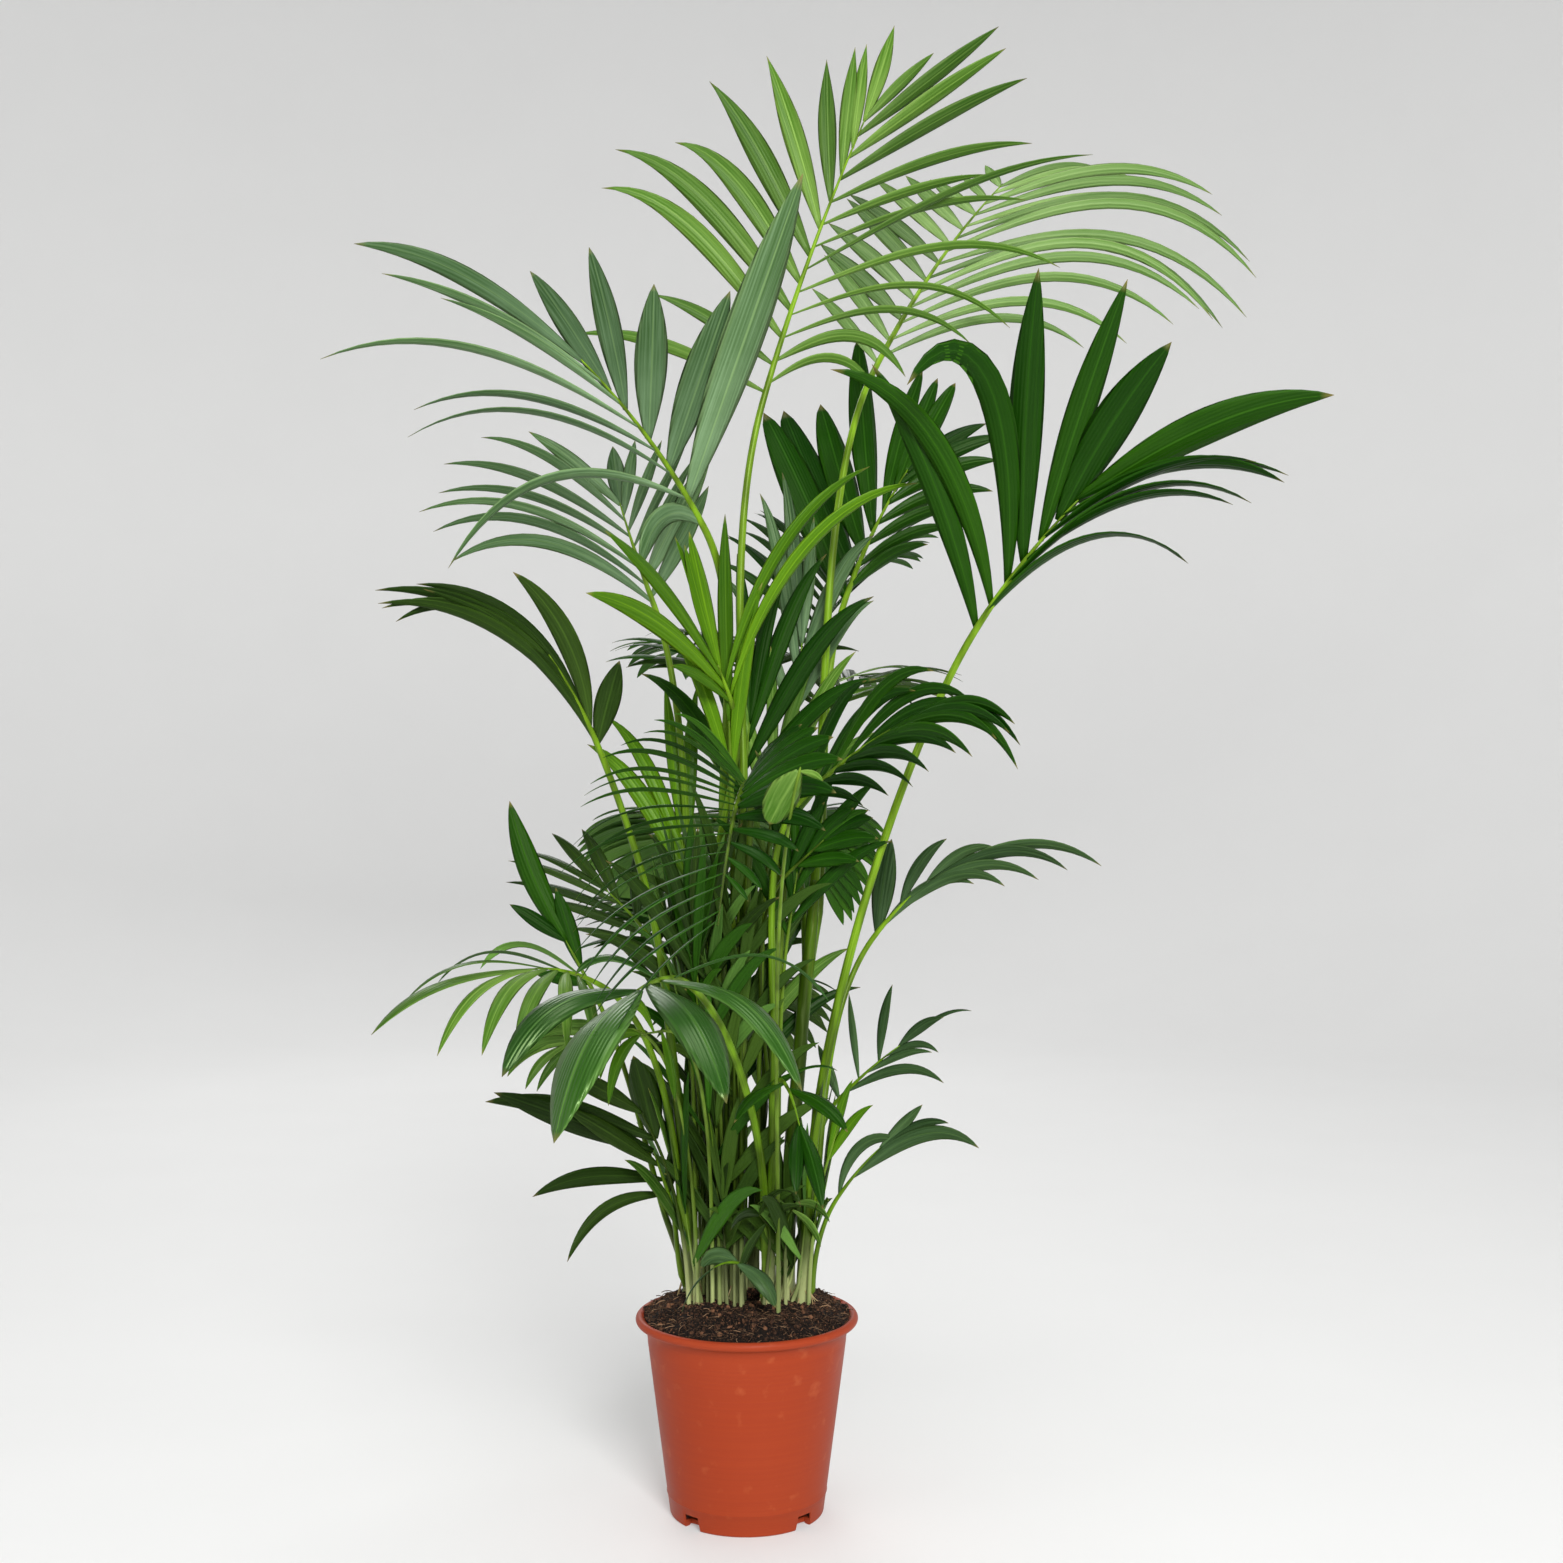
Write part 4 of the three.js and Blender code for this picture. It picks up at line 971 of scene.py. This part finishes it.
def young_pieces(stem_look, leaf_looks):
    """The fronds inside the clump: all their stems in one piece, their leaves by green."""
    stems = Skin()
    leaves = {}
    draw = chance(SHOOT_SEED)
    feet = [(np.array(cane["foot"], float), cane["radii"][0] * CANE_FLARE) for cane in CANES.values()]
    feet += [(np.array(shoot["foot"], float), shoot["radius"]) for shoot in YOUNG_FRONDS]
    shoots = list(YOUNG_FRONDS)
    for rule in (TALL_SHOOTS, SHORT_SHOOTS):
        shoots += shoots_by_rule(rule, feet, draw)
    for index, shoot in enumerate(shoots):
        rib = rib_handles(shoot)
        neck, onto = curve_at(rib, 0)
        foot = np.array([*shoot["foot"], SOIL_CROWN - CANE_SUNK])
        length = np.linalg.norm(neck - foot)
        first, last = foot + [0, 0, length * YOUNG_FOOT_REACH], neck - onto * length * YOUNG_NECK_REACH
        stalk = curve_points([foot, first, last, neck], STALK_STEPS)
        ribs = curve_points(rib, RIB_STEPS // 2)[1:]
        at_foot, at_neck, at_tip = (share * shoot["radius"] for share in YOUNG_TAPER)
        radii = [*np.linspace(at_foot, at_neck, len(stalk)), *np.linspace(at_neck, at_tip, len(ribs))]
        tone = chance(index + YOUNG_STEM_SEED)(1)
        add_limb(stems, np.vstack([stalk, ribs]), radii, RIB_SIDES, value=tone)
        for leaf in leaflets(shoot, rib, chance(index + YOUNG_LEAF_SEED)):
            add_leaf(leaves.setdefault(shoot["green"], Skin()), leaf)
    finish_piece(stems.mesh("young_stems", stem_look), "stalk")
    for green, skin in leaves.items():
        finish_piece(skin.mesh(f"young_leaflets_{green}", leaf_looks[green]), "frond")


def foot_fibres(material):
    """Dry threads of old sheaths and thin roots, round the foot of each cane."""
    skin = Skin()
    for index, cane in enumerate(CANES.values()):
        draw = chance(index + FIBRE_SEED)
        foot = np.array([*cane["foot"], SOIL_CROWN], float)
        radius = cane["radii"][0]
        for _ in range(FIBRES):
            angle, height = draw(math.pi), FIBRE_START[0] + draw(FIBRE_START[1])
            out = np.array([math.cos(angle), math.sin(angle), 0])
            beside = np.array([-out[1], out[0], 0])
            start = foot + out * radius * 1.08 + [0, 0, height]
            reach = radius * 1.5 + FIBRE_REACH[0] + draw(FIBRE_REACH[1])
            end = foot + out * reach + beside * draw(FIBRE_SWAY)
            middle = start + out * 4 + beside * draw(FIBRE_SWAY / 2) - [0, 0, height / 2]
            path = curve_points([start, middle, end - [0, 0, 3]], 7)
            add_limb(skin, path, np.linspace(*FIBRE_RADII, len(path)), 4, value=draw(1))
    finish_piece(skin.mesh("foot_fibres", material), "cane")


def set_inputs(tree, node, inputs):
    """Gives a node's sockets values or links, by their names or in their order.

    An output is linked, and a node stands for its first output that is in use.
    """
    sockets = [socket for socket in node.inputs if socket.enabled]
    if isinstance(inputs, dict):
        names = [socket.name for socket in sockets]
        sockets = [sockets[names.index(name)] for name in inputs]
        inputs = inputs.values()
    for socket, value in zip(sockets, inputs):
        if isinstance(value, bpy.types.Node):
            value = next(output for output in value.outputs if output.enabled)
        if isinstance(value, bpy.types.NodeSocket):
            tree.links.new(value, socket)
        else:
            socket.default_value = value


def add(tree, kind, inputs=(), **settings):
    """A node with its settings and its inputs."""
    node = tree.nodes.new(kind)
    for name, value in settings.items():
        setattr(node, name, value)
    set_inputs(tree, node, inputs)
    return node


def colour(code):
    """An sRGB hex value as the linear colour that a shader takes."""
    parts = [int(code[i:i + 2], 16) / 255 for i in (1, 3, 5)]
    return (*(p / 12.92 if p <= 0.04045 else ((p + 0.055) / 1.055) ** 2.4 for p in parts), 1.0)


def new_material(name):
    material = bpy.data.materials.new(name)
    material.use_nodes = True
    return material, material.node_tree, material.node_tree.nodes["Principled BSDF"]


def leaf_material(kind):
    """Kentia leaflet: a tough, waxy blade, pleated along its parallel veins.

    The eye sees a satin green, a light midrib and a duller, paler underside. Towards the
    base a paler green is painted as sheen. Pale streaks along the veins are partly the
    leaf's own and partly painted sheen, and the lighter edge is partly painted backlit
    glow. Veins are really about 1 mm apart, and are drawn at 3.6 mm so that they show.
    """
    top, pale_sheen, rib, under = (colour(code) for code in GREENS[kind])
    roughness, gleam = (0.32, 0.5) if kind == "glossy" else (0.42, 0.16)
    material, tree, shader = new_material(f"kentia_leaflet_{kind}")
    place = add(tree, ATTRIBUTE, attribute_name="place").outputs["Vector"]
    shade = add(tree, ATTRIBUTE, attribute_name="shade").outputs["Fac"]
    below = add(tree, ATTRIBUTE, attribute_name="under").outputs["Fac"]
    across, along, side = add(tree, "ShaderNodeSeparateXYZ", (place,)).outputs
    body = add(tree, "ShaderNodeTexCoord").outputs["Object"]
    mottle = add(tree, NOISE, {"Vector": body, "Scale": 24.0, "Detail": 3.0})
    veins = add(tree, MATH, (across, 2 * math.pi / (VEIN_SPACING * MM)), operation="MULTIPLY")
    veins = add(tree, MATH, (veins,), operation="SINE")
    long = add(tree, VECTOR, (place, (480.0, 2.2, 0.0)), operation="MULTIPLY")
    streaks = add(
        tree, NOISE, {"Vector": long, "W": shade, "Scale": 1.0, "Detail": 2.0}, noise_dimensions="4D",
    )
    off = add(tree, MATH, (side,), operation="ABSOLUTE")
    midrib = add(tree, RANGE, (off, 0.02, 0.09, 0.35, 0.0))
    # A lighter edge: partly the leaf's own colour, partly painted backlit glow.
    edge = add(tree, RANGE, (off, 0.7, 1.0, 0.0, 0.5))
    # Pale streaks along the veins: partly the leaf's own streaking, partly painted sheen.
    streaks_and_sheen = add(tree, RANGE, (streaks, 0.48, 0.72, 0.0, 0.55))
    veined = add(tree, RANGE, (veins, -1.0, 1.0, 0.0, 0.16))
    # Painted sheen: a paler green towards the base of each leaflet, mottled.
    sheen_share = add(tree, RANGE, (along, 0.0, 0.7, 1.1, 0.1))
    sheen_share = add(tree, MATH, (sheen_share, mottle), operation="MULTIPLY")
    dry = add(tree, RANGE, (along, 0.95, 1.0, 0.0, 0.7))
    paint = top
    for share, coat in (
        (sheen_share, pale_sheen), (veined, pale_sheen), (streaks_and_sheen, pale_sheen), (edge, rib), (midrib, rib),
        (dry, colour("#7d6b3c")), (below, under),
    ):
        paint = add(tree, MIX, (share, paint, coat), data_type="RGBA")
    light = add(tree, RANGE, (shade, -1.0, 1.0, 0.62, 1.34))
    hue = add(tree, RANGE, (shade, -1.0, 1.0, 0.507, 0.492))
    gloss = add(tree, RANGE, (mottle, 0.3, 0.7, roughness - 0.06, roughness + 0.08))
    dull = add(tree, MATH, (below, 0.2), operation="MULTIPLY")
    relief = add(tree, MATH, (veins, midrib), operation="ADD")
    set_inputs(tree, shader, {
        "Base Color": add(tree, HUE, {"Hue": hue, "Value": light, "Color": paint}),
        "Roughness": add(tree, MATH, (gloss, dull), operation="ADD"),
        "Normal": add(tree, BUMP, {"Strength": 0.35, "Distance": 0.0004, "Height": relief}),
        "Specular IOR Level": gleam, "Specular Tint": colour("#dcffb4"),
        "Coat Weight": 0.03, "Coat Roughness": 0.2,
    })
    return material


def stem_material(name, foot, low, high, other, roughness, height):
    """Kentia stem: smooth living sheath, streaked lengthways, pale at its foot.

    The eye sees fine lengthwise streaks, and no two stems of one green. shade differs
    from stem to stem: above 0 a stem leans to the other colour, and well below 0 it is
    dark. Tone and paleness at the foot also change slowly from place to place.
    """
    material, tree, shader = new_material(name)
    place = add(tree, ATTRIBUTE, attribute_name="place").outputs["Vector"]
    shade = add(tree, ATTRIBUTE, attribute_name="shade").outputs["Fac"]
    along = add(tree, "ShaderNodeSeparateXYZ", (place,)).outputs[2]
    body = add(tree, "ShaderNodeTexCoord").outputs["Object"]
    long = add(tree, VECTOR, (place, (3.4, 3.4, 11.0)), operation="MULTIPLY")
    streaks = add(tree, NOISE, {"Vector": long, "Scale": 1.0, "Detail": 5.0})
    spread = add(tree, VECTOR, (body, (70.0, 70.0, 2.4)), operation="MULTIPLY")
    clump = add(tree, NOISE, {"Vector": spread, "Scale": 1.0, "Detail": 1.0})
    climb = add(tree, RANGE, (along, 0.05, height, 0.0, 1.0))
    streak = add(tree, RANGE, (streaks, 0.35, 0.68, 0.0, 0.75))
    brown = add(tree, RANGE, (streaks, 0.3, 0.42, 0.6, 0.0))
    leaning = add(tree, MATH, (shade, 0.9), operation="MULTIPLY", use_clamp=True)
    tone = add(tree, RANGE, (clump, 0.35, 0.65, 0.5, 1.3))
    own = add(tree, RANGE, (shade, -1.0, -0.2, 0.4, 1.0))
    tone = add(tree, MATH, (tone, own), operation="MULTIPLY")
    rise = add(tree, RANGE, (along, 0.02, 0.1, 1.0, 0.0))
    bare = add(tree, RANGE, (clump, 0.4, 0.58, 0.35, 1.0))
    rise = add(tree, MATH, (rise, bare), operation="MULTIPLY")
    paint = add(tree, MIX, (climb, colour(low), colour(high)), data_type="RGBA")
    darker = add(tree, HUE, {"Value": 0.4, "Color": paint})
    for share, coat in ((streak, darker), (brown, colour("#4a3e12")), (leaning, colour(other))):
        paint = add(tree, MIX, (share, paint, coat), data_type="RGBA")
    paint = add(tree, HUE, {"Value": tone, "Color": paint})
    set_inputs(tree, shader, {
        "Base Color": add(tree, MIX, (rise, paint, colour(foot)), data_type="RGBA"),
        "Roughness": add(tree, RANGE, (streaks, 0.3, 0.7, roughness - 0.06, roughness + 0.12)),
        "Normal": add(tree, BUMP, {"Strength": 0.45, "Distance": 0.0006, "Height": streaks}),
        "Specular IOR Level": 0.3, "Specular Tint": colour("#ecffb0"),
        "Coat Weight": 0.03, "Coat Roughness": 0.3,
    })
    return material


def pot_material():
    """Polypropylene, injection moulded in a terracotta colour.

    The eye sees an even satin red-brown, with faint rings from the mould every few
    millimetres, and paler scuffs and dust from the nursery.
    """
    material, tree, shader = new_material("moulded_terracotta_polypropylene")
    body = add(tree, "ShaderNodeTexCoord").outputs["Object"]
    rings = add(tree, VECTOR, (body, (3.0, 3.0, 420.0)), operation="MULTIPLY")
    rings = add(tree, NOISE, {"Vector": rings, "Scale": 1.0, "Detail": 2.0})
    cloud = add(tree, NOISE, {"Vector": body, "Scale": 9.0, "Detail": 4.0})
    scuff = add(tree, NOISE, {"Vector": body, "Scale": 60.0, "Detail": 6.0})
    ringed = add(tree, RANGE, (rings, 0.35, 0.65, 0.0, 0.3))
    worn = add(tree, RANGE, (scuff, 0.6, 0.78, 0.0, 0.4))
    paint = colour("#96371b")
    for share, coat in ((cloud, "#9d3f22"), (ringed, "#8f3520"), (worn, "#b8603a")):
        paint = add(tree, MIX, (share, paint, colour(coat)), data_type="RGBA")
    set_inputs(tree, shader, {
        "Base Color": paint,
        "Roughness": add(tree, RANGE, (cloud, 0.3, 0.7, 0.36, 0.5)),
        "Normal": add(tree, BUMP, {"Strength": 0.25, "Distance": 0.0005, "Height": rings}),
        "Specular IOR Level": 0.1,
    })
    return material


def compost_material(name, dark, light, share, roughness):
    """Peat and coir compost: rough, dark and moist, in crumbs, fibres or bark chips.

    shade runs from -1 to 1 from crumb to crumb, and picks how many are light.
    """
    material, tree, shader = new_material(name)
    shade = add(tree, ATTRIBUTE, attribute_name="shade").outputs["Fac"]
    body = add(tree, "ShaderNodeTexCoord").outputs["Object"]
    crumbs = add(tree, NOISE, {"Vector": body, "Scale": 340.0, "Detail": 6.0})
    pale = add(tree, RANGE, (shade, 1 - 2 * share, 1.0, 0.0, 1.0))
    mixed = add(tree, RANGE, (crumbs, 0.4, 0.75, 0.0, 0.5))
    mixed = add(tree, MATH, (mixed, pale), operation="ADD", use_clamp=True)
    set_inputs(tree, shader, {
        "Base Color": add(tree, MIX, (mixed, colour(dark), colour(light)), data_type="RGBA"),
        "Roughness": roughness,
        "Normal": add(tree, BUMP, {"Strength": 0.8, "Distance": 0.0015, "Height": crumbs}),
        "Specular IOR Level": 0.2,
    })
    return material


def backdrop_material():
    """Seamless backdrop paper: matt, even and nearly white."""
    material, tree, shader = new_material("backdrop_paper")
    body = add(tree, "ShaderNodeTexCoord").outputs["Object"]
    tooth = add(tree, NOISE, {"Vector": body, "Scale": 3.0, "Detail": 2.0})
    set_inputs(tree, shader, {
        "Base Color": add(tree, MIX, (tooth, colour("#c6c6c5"), colour("#cacac9")), data_type="RGBA"),
        "Roughness": 0.9, "Emission Color": colour("#ffffff"), "Emission Strength": 0.26,
    })
    return material


def arc(centre, radii, low, high, steps):
    """Points of a profile on an arc, between two angles in degrees."""
    angles = [math.radians(mix(low, high, i / steps)) for i in range(steps + 1)]
    return [(centre[0] + radii[0] * math.cos(a), centre[1] + radii[1] * math.sin(a)) for a in angles]


def lathe(name, profile, sides, height_at=None):
    """A turned mesh from a profile of radius and height. A radius of 0 is a pole."""
    points, faces, rows = [], [], []
    for radius, height in profile:
        if radius == 0:
            rows.append([len(points)] * sides)
            points.append((0, 0, height))
            continue
        rows.append([len(points) + i for i in range(sides)])
        for i in range(sides):
            angle = 2 * math.pi * i / sides
            x, y = radius * math.cos(angle), radius * math.sin(angle)
            points.append((x, y, height + (height_at(x, y) if height_at else 0)))
    for low, high in zip(rows, rows[1:]):
        for i in range(sides):
            j = (i + 1) % sides
            corners = list(dict.fromkeys((low[i], low[j], high[j], high[i])))
            if len(corners) > 2:
                faces.append(corners)
    return plain_piece(name, points, faces)


def plain_piece(name, points, faces):
    mesh = bpy.data.meshes.new(name)
    mesh.from_pydata(np.array(points) * MM, [], faces)
    return show(name, mesh)


def apply_modifiers(piece):
    """Makes a piece's modifiers part of its mesh."""
    graph = bpy.context.evaluated_depsgraph_get()
    mesh = bpy.data.meshes.new_from_object(piece.evaluated_get(graph))
    piece.modifiers.clear()
    piece.data = mesh


def pot_piece(material):
    """The pot: a tapered wall on a notched foot ring, a cove and a rolled rim."""
    bead = (POT_RIM - RIM_BEAD, POT_HEIGHT - RIM_BEAD)
    neck_low = bead[1] - RIM_BEAD - NECK_LENGTH
    inner = POT_NECK - POT_WALL
    slope = (POT_NECK - POT_FOOT) / neck_low
    line = POT_FOOT + slope * FOOT_LINE
    ring = POT_FOOT - FOOT_RING
    profile = [(0, 0), (PAD_RADIUS, 0), (PAD_RADIUS + HOLLOW, HOLLOW), (ring - HOLLOW, HOLLOW), (ring, 0)]
    profile += arc((POT_FOOT - FOOT_ROUND, FOOT_ROUND), (FOOT_ROUND, FOOT_ROUND), -90, 0, 5)
    profile += [(line - 0.1, FOOT_LINE), (line + LINE_RELIEF, FOOT_LINE + 1)]
    profile += [(POT_FOOT + slope * height, height) for height in np.linspace(FOOT_LINE + 4, neck_low, 24)]
    profile += arc((bead[0], neck_low), (bead[0] - POT_NECK, NECK_LENGTH), 180, 92, 9)[1:]
    profile += arc(bead, (RIM_BEAD, RIM_BEAD), -88, 100, 14)
    profile += [(inner + out, POT_HEIGHT - down) for out, down in RIM_INSIDE]
    profile += [(POT_FOOT + 2 - POT_WALL, FLOOR_TOP), (0, FLOOR_TOP)]
    pot = lathe("moulded_pot", profile, POT_SIDES)
    cutters = [notch_cutter(FIRST_NOTCH + i * 360 / NOTCHES - 90) for i in range(NOTCHES)]
    for cutter in cutters:
        cut = pot.modifiers.new("notch", "BOOLEAN")
        cut.object = cutter
        cut.solver = "EXACT"
    soften = pot.modifiers.new("soften", "BEVEL")
    soften.width = EDGE_SOFTNESS * MM
    soften.segments = 2
    soften.limit_method = "ANGLE"
    soften.angle_limit = math.radians(SOFT_ABOVE)
    apply_modifiers(pot)
    for cutter in cutters:
        bpy.data.objects.remove(cutter)
    pot.data.shade_smooth()
    pot.data.set_sharp_from_angle(angle=math.radians(SHARP_ABOVE))
    pot.data.materials.clear()
    pot.data.materials.append(material)
    finish_piece(pot, "pot", "pot")


def notch_cutter(azimuth):
    """A wedge that cuts one drain notch, narrower towards its top."""
    half = POT_FOOT * math.tan(math.radians(NOTCH_ANGLE / 2))
    near, far = POT_FOOT + NOTCH_REACH - NOTCH_DEPTH, POT_FOOT + NOTCH_REACH + 4
    corners = []
    for height, share in zip((-6, NOTCH_HEIGHT), NOTCH_TAPER):
        for reach, side in ((near, -1), (far, -1), (far, 1), (near, 1)):
            corners.append((reach, half * share * side, height))
    turn = math.radians(azimuth)
    points = [
        (x * math.cos(turn) - y * math.sin(turn), x * math.sin(turn) + y * math.cos(turn), z)
        for x, y, z in corners
    ]
    faces = [(3, 2, 1, 0), (4, 5, 6, 7), (0, 1, 5, 4), (1, 2, 6, 5), (2, 3, 7, 6), (3, 0, 4, 7)]
    return plain_piece("notch_cutter", points, faces)


def clods(x, y):
    """Height of the compost's lumps, from waves that cross and sway one another."""
    along = 1.5 * math.sin(x / 9 + 1.3 * math.sin(y / 13))
    across = 1.2 * math.sin(y / 7.3 + 1.1 * math.sin(x / 11))
    small = 0.7 * math.sin(x / 3.1 + y / 4.3) * math.sin(y / 2.7)
    return along + across + small


def soil_pieces():
    """The compost: a lumpy heap, with crumbs, bark chips and fibres strewn on it."""
    heap = [(0, HEAP_CROWN)]
    for i in range(1, HEAP_RINGS + 1):
        share = i / HEAP_RINGS
        heap.append((HEAP_RADIUS * share, mix(HEAP_CROWN, HEAP_EDGE, share ** 4)))
    skirt = [(HEAP_RADIUS - 1, HEAP_EDGE - 4), (SOIL_RADIUS - 1, SOIL_EDGE - 12), (0, SOIL_EDGE - 12)]
    body = lathe("compost", heap + skirt, HEAP_SIDES, clods)
    top = lathe("compost_top", heap, HEAP_SIDES // 2, clods)
    for piece in (body, top):
        piece.data.flip_normals()
    body.data.shade_smooth()
    body.data.materials.append(compost_material("moist_peat_compost", "#0e0907", "#2a1c15", 0.1, 0.9))
    finish_piece(body, "soil", "soil")
    looks = {
        "crumb": compost_material("compost_crumbs_and_bark", "#130c09", "#7a543c", 0.2, 0.85),
        "fibre": compost_material("coir_fibres", "#2a1c14", "#a07e60", 0.25, 0.8),
    }
    for name, (shape, density, small, large, seed) in STREWN.items():
        settings = {
            "Per square metre": density, "Smallest": small * MM, "Largest": large * MM, "Seed": seed,
            "Material": looks[shape],
        }
        finish_piece(strew(name, top, shape, settings), "soil")
    bpy.data.objects.remove(top)


def strew(name, ground, shape, settings):
    """Crumbs or fibres all over the ground, by Geometry Nodes, as one plain mesh."""
    piece = show(name, ground.data.copy())
    modifier = piece.modifiers.new("strew", "NODES")
    modifier.node_group = strewing_tree(name, shape)
    for socket in modifier.node_group.interface.items_tree:
        if socket.in_out == "INPUT" and socket.name in settings:
            modifier[socket.identifier] = settings[socket.name]
    apply_modifiers(piece)
    # The small pieces bring an empty material slot, which comes first.
    piece.data.materials.pop(index=0)
    return piece


def strewing_tree(name, shape):
    """The node tree: points on the ground, a small piece on each, each with a shade.

    low and high are the least and most that a piece is stretched, and lean the most that
    it is turned, round each axis.
    """
    tree = bpy.data.node_groups.new(name, "GeometryNodeTree")
    for label, kind in (
        ("Geometry", "Geometry"), ("Per square metre", "Float"), ("Smallest", "Float"),
        ("Largest", "Float"), ("Seed", "Int"), ("Material", "Material"),
    ):
        tree.interface.new_socket(label, in_out="INPUT", socket_type=f"NodeSocket{kind}")
    tree.interface.new_socket("Geometry", in_out="OUTPUT", socket_type="NodeSocketGeometry")
    given = add(tree, "NodeGroupInput").outputs
    points = add(
        tree, "GeometryNodeDistributePointsOnFaces",
        {"Mesh": given["Geometry"], "Density": given["Per square metre"], "Seed": given["Seed"]},
    )
    if shape == "crumb":
        model = add(tree, "GeometryNodeMeshIcoSphere", {"Radius": 0.5, "Subdivisions": 1})
        low, high, lean = (0.5, 0.5, 0.35), (1.3, 1.0, 0.8), (3.1, 3.1, 3.1)
    else:
        thread = add(
            tree, "GeometryNodeCurveQuadraticBezier",
            {"Resolution": 6, "Start": (-0.5, 0, 0), "Middle": (0, 0.28, 0.16), "End": (0.5, 0, 0)},
        )
        section = add(tree, "GeometryNodeCurvePrimitiveCircle", {"Resolution": 3, "Radius": 0.024})
        model = add(
            tree, "GeometryNodeCurveToMesh", {"Curve": thread, "Profile Curve": section, "Fill Caps": True},
        )
        low, high, lean = (0.6, 0.5, 0.5), (1.0, 1.2, 1.4), (0.35, 0.35, 3.1)
    turn, form, size, tone = (
        add(tree, "FunctionNodeRandomValue", {"Min": least, "Max": most, "Seed": seed}, data_type=kind)
        for seed, kind, least, most in (
            (1, "FLOAT_VECTOR", tuple(-angle for angle in lean), lean),
            (2, "FLOAT_VECTOR", low, high),
            (3, "FLOAT", given["Smallest"], given["Largest"]),
            (4, "FLOAT", -1.0, 1.0),
        )
    )
    pieces = add(
        tree, "GeometryNodeInstanceOnPoints",
        {"Points": points, "Instance": model, "Rotation": turn,
         "Scale": add(tree, VECTOR, (form, size), operation="SCALE")},
    )
    stored = add(
        tree, "GeometryNodeStoreNamedAttribute", {"Geometry": pieces, "Name": "shade", "Value": tone},
        data_type="FLOAT", domain="INSTANCE",
    )
    real = add(tree, "GeometryNodeRealizeInstances", (stored,))
    painted = add(tree, "GeometryNodeSetMaterial", {"Geometry": real, "Material": given["Material"]})
    add(tree, "NodeGroupOutput", {"Geometry": painted})
    return tree


def stage_and_light():
    """A pale round backdrop, curved up out of the floor, and soft lights."""
    profile = [(reach, 0) for reach in FLOOR_RINGS]
    profile += arc((FLOOR_REACH - FLOOR_BEND, FLOOR_BEND), (FLOOR_BEND, FLOOR_BEND), -90, 0, 16)
    backdrop = lathe("backdrop", profile + [(FLOOR_REACH, WALL_HEIGHT)], 96)
    backdrop.data.shade_smooth()
    backdrop.data.materials.append(backdrop_material())
    for name, (place, size, power) in LIGHTS.items():
        lamp = bpy.data.lights.new(name, "AREA")
        lamp.size = size
        lamp.energy = power
        light = show(name, lamp)
        light.location = place
        light.rotation_mode = "QUATERNION"
        light.rotation_quaternion = (Vector(LIGHT_AIM) - Vector(place)).to_track_quat("-Z", "Y")
    world = bpy.data.worlds.new("studio")
    world.use_nodes = True
    sky = world.node_tree.nodes["Background"]
    sky.inputs["Color"].default_value = colour("#ffffff")
    sky.inputs["Strength"].default_value = SKY_POWER
    bpy.context.scene.world = world
    bpy.context.scene.view_settings.view_transform = "Standard"


def camera():
    """The photograph's view: level, 2.1 m in front of the pot's axis."""
    lens = bpy.data.cameras.new("camera")
    lens.lens = CAMERA_LENS
    lens.sensor_width = CAMERA_SENSOR
    view = show("camera", lens)
    view.location = [value * MM for value in CAMERA_PLACE]
    view.rotation_euler = (math.pi / 2, 0, 0)
    bpy.context.scene.camera = view


def plant():
    """Canes, fronds on them, the younger ones between them, and threads at their feet."""
    leaf_looks = {kind: leaf_material(kind) for kind in GREENS}
    cane_look, stalk_look, young_look = (stem_material(name, *look) for name, look in STEMS.items())
    for name, cane in CANES.items():
        cane["handles"] = cane_handles(cane)
        cane_piece(name, cane, cane_look)
    for index, (name, entry) in enumerate(FRONDS.items(), 1):
        frond_pieces(index, name, entry, stalk_look, leaf_looks[entry["green"]])
    young_pieces(young_look, leaf_looks)
    foot_fibres(compost_material("dry_sheath_threads", "#a48a5e", "#d8c79a", 0.6, 0.8))


plant()
soil_pieces()
pot_piece(pot_material())
stage_and_light()
camera()
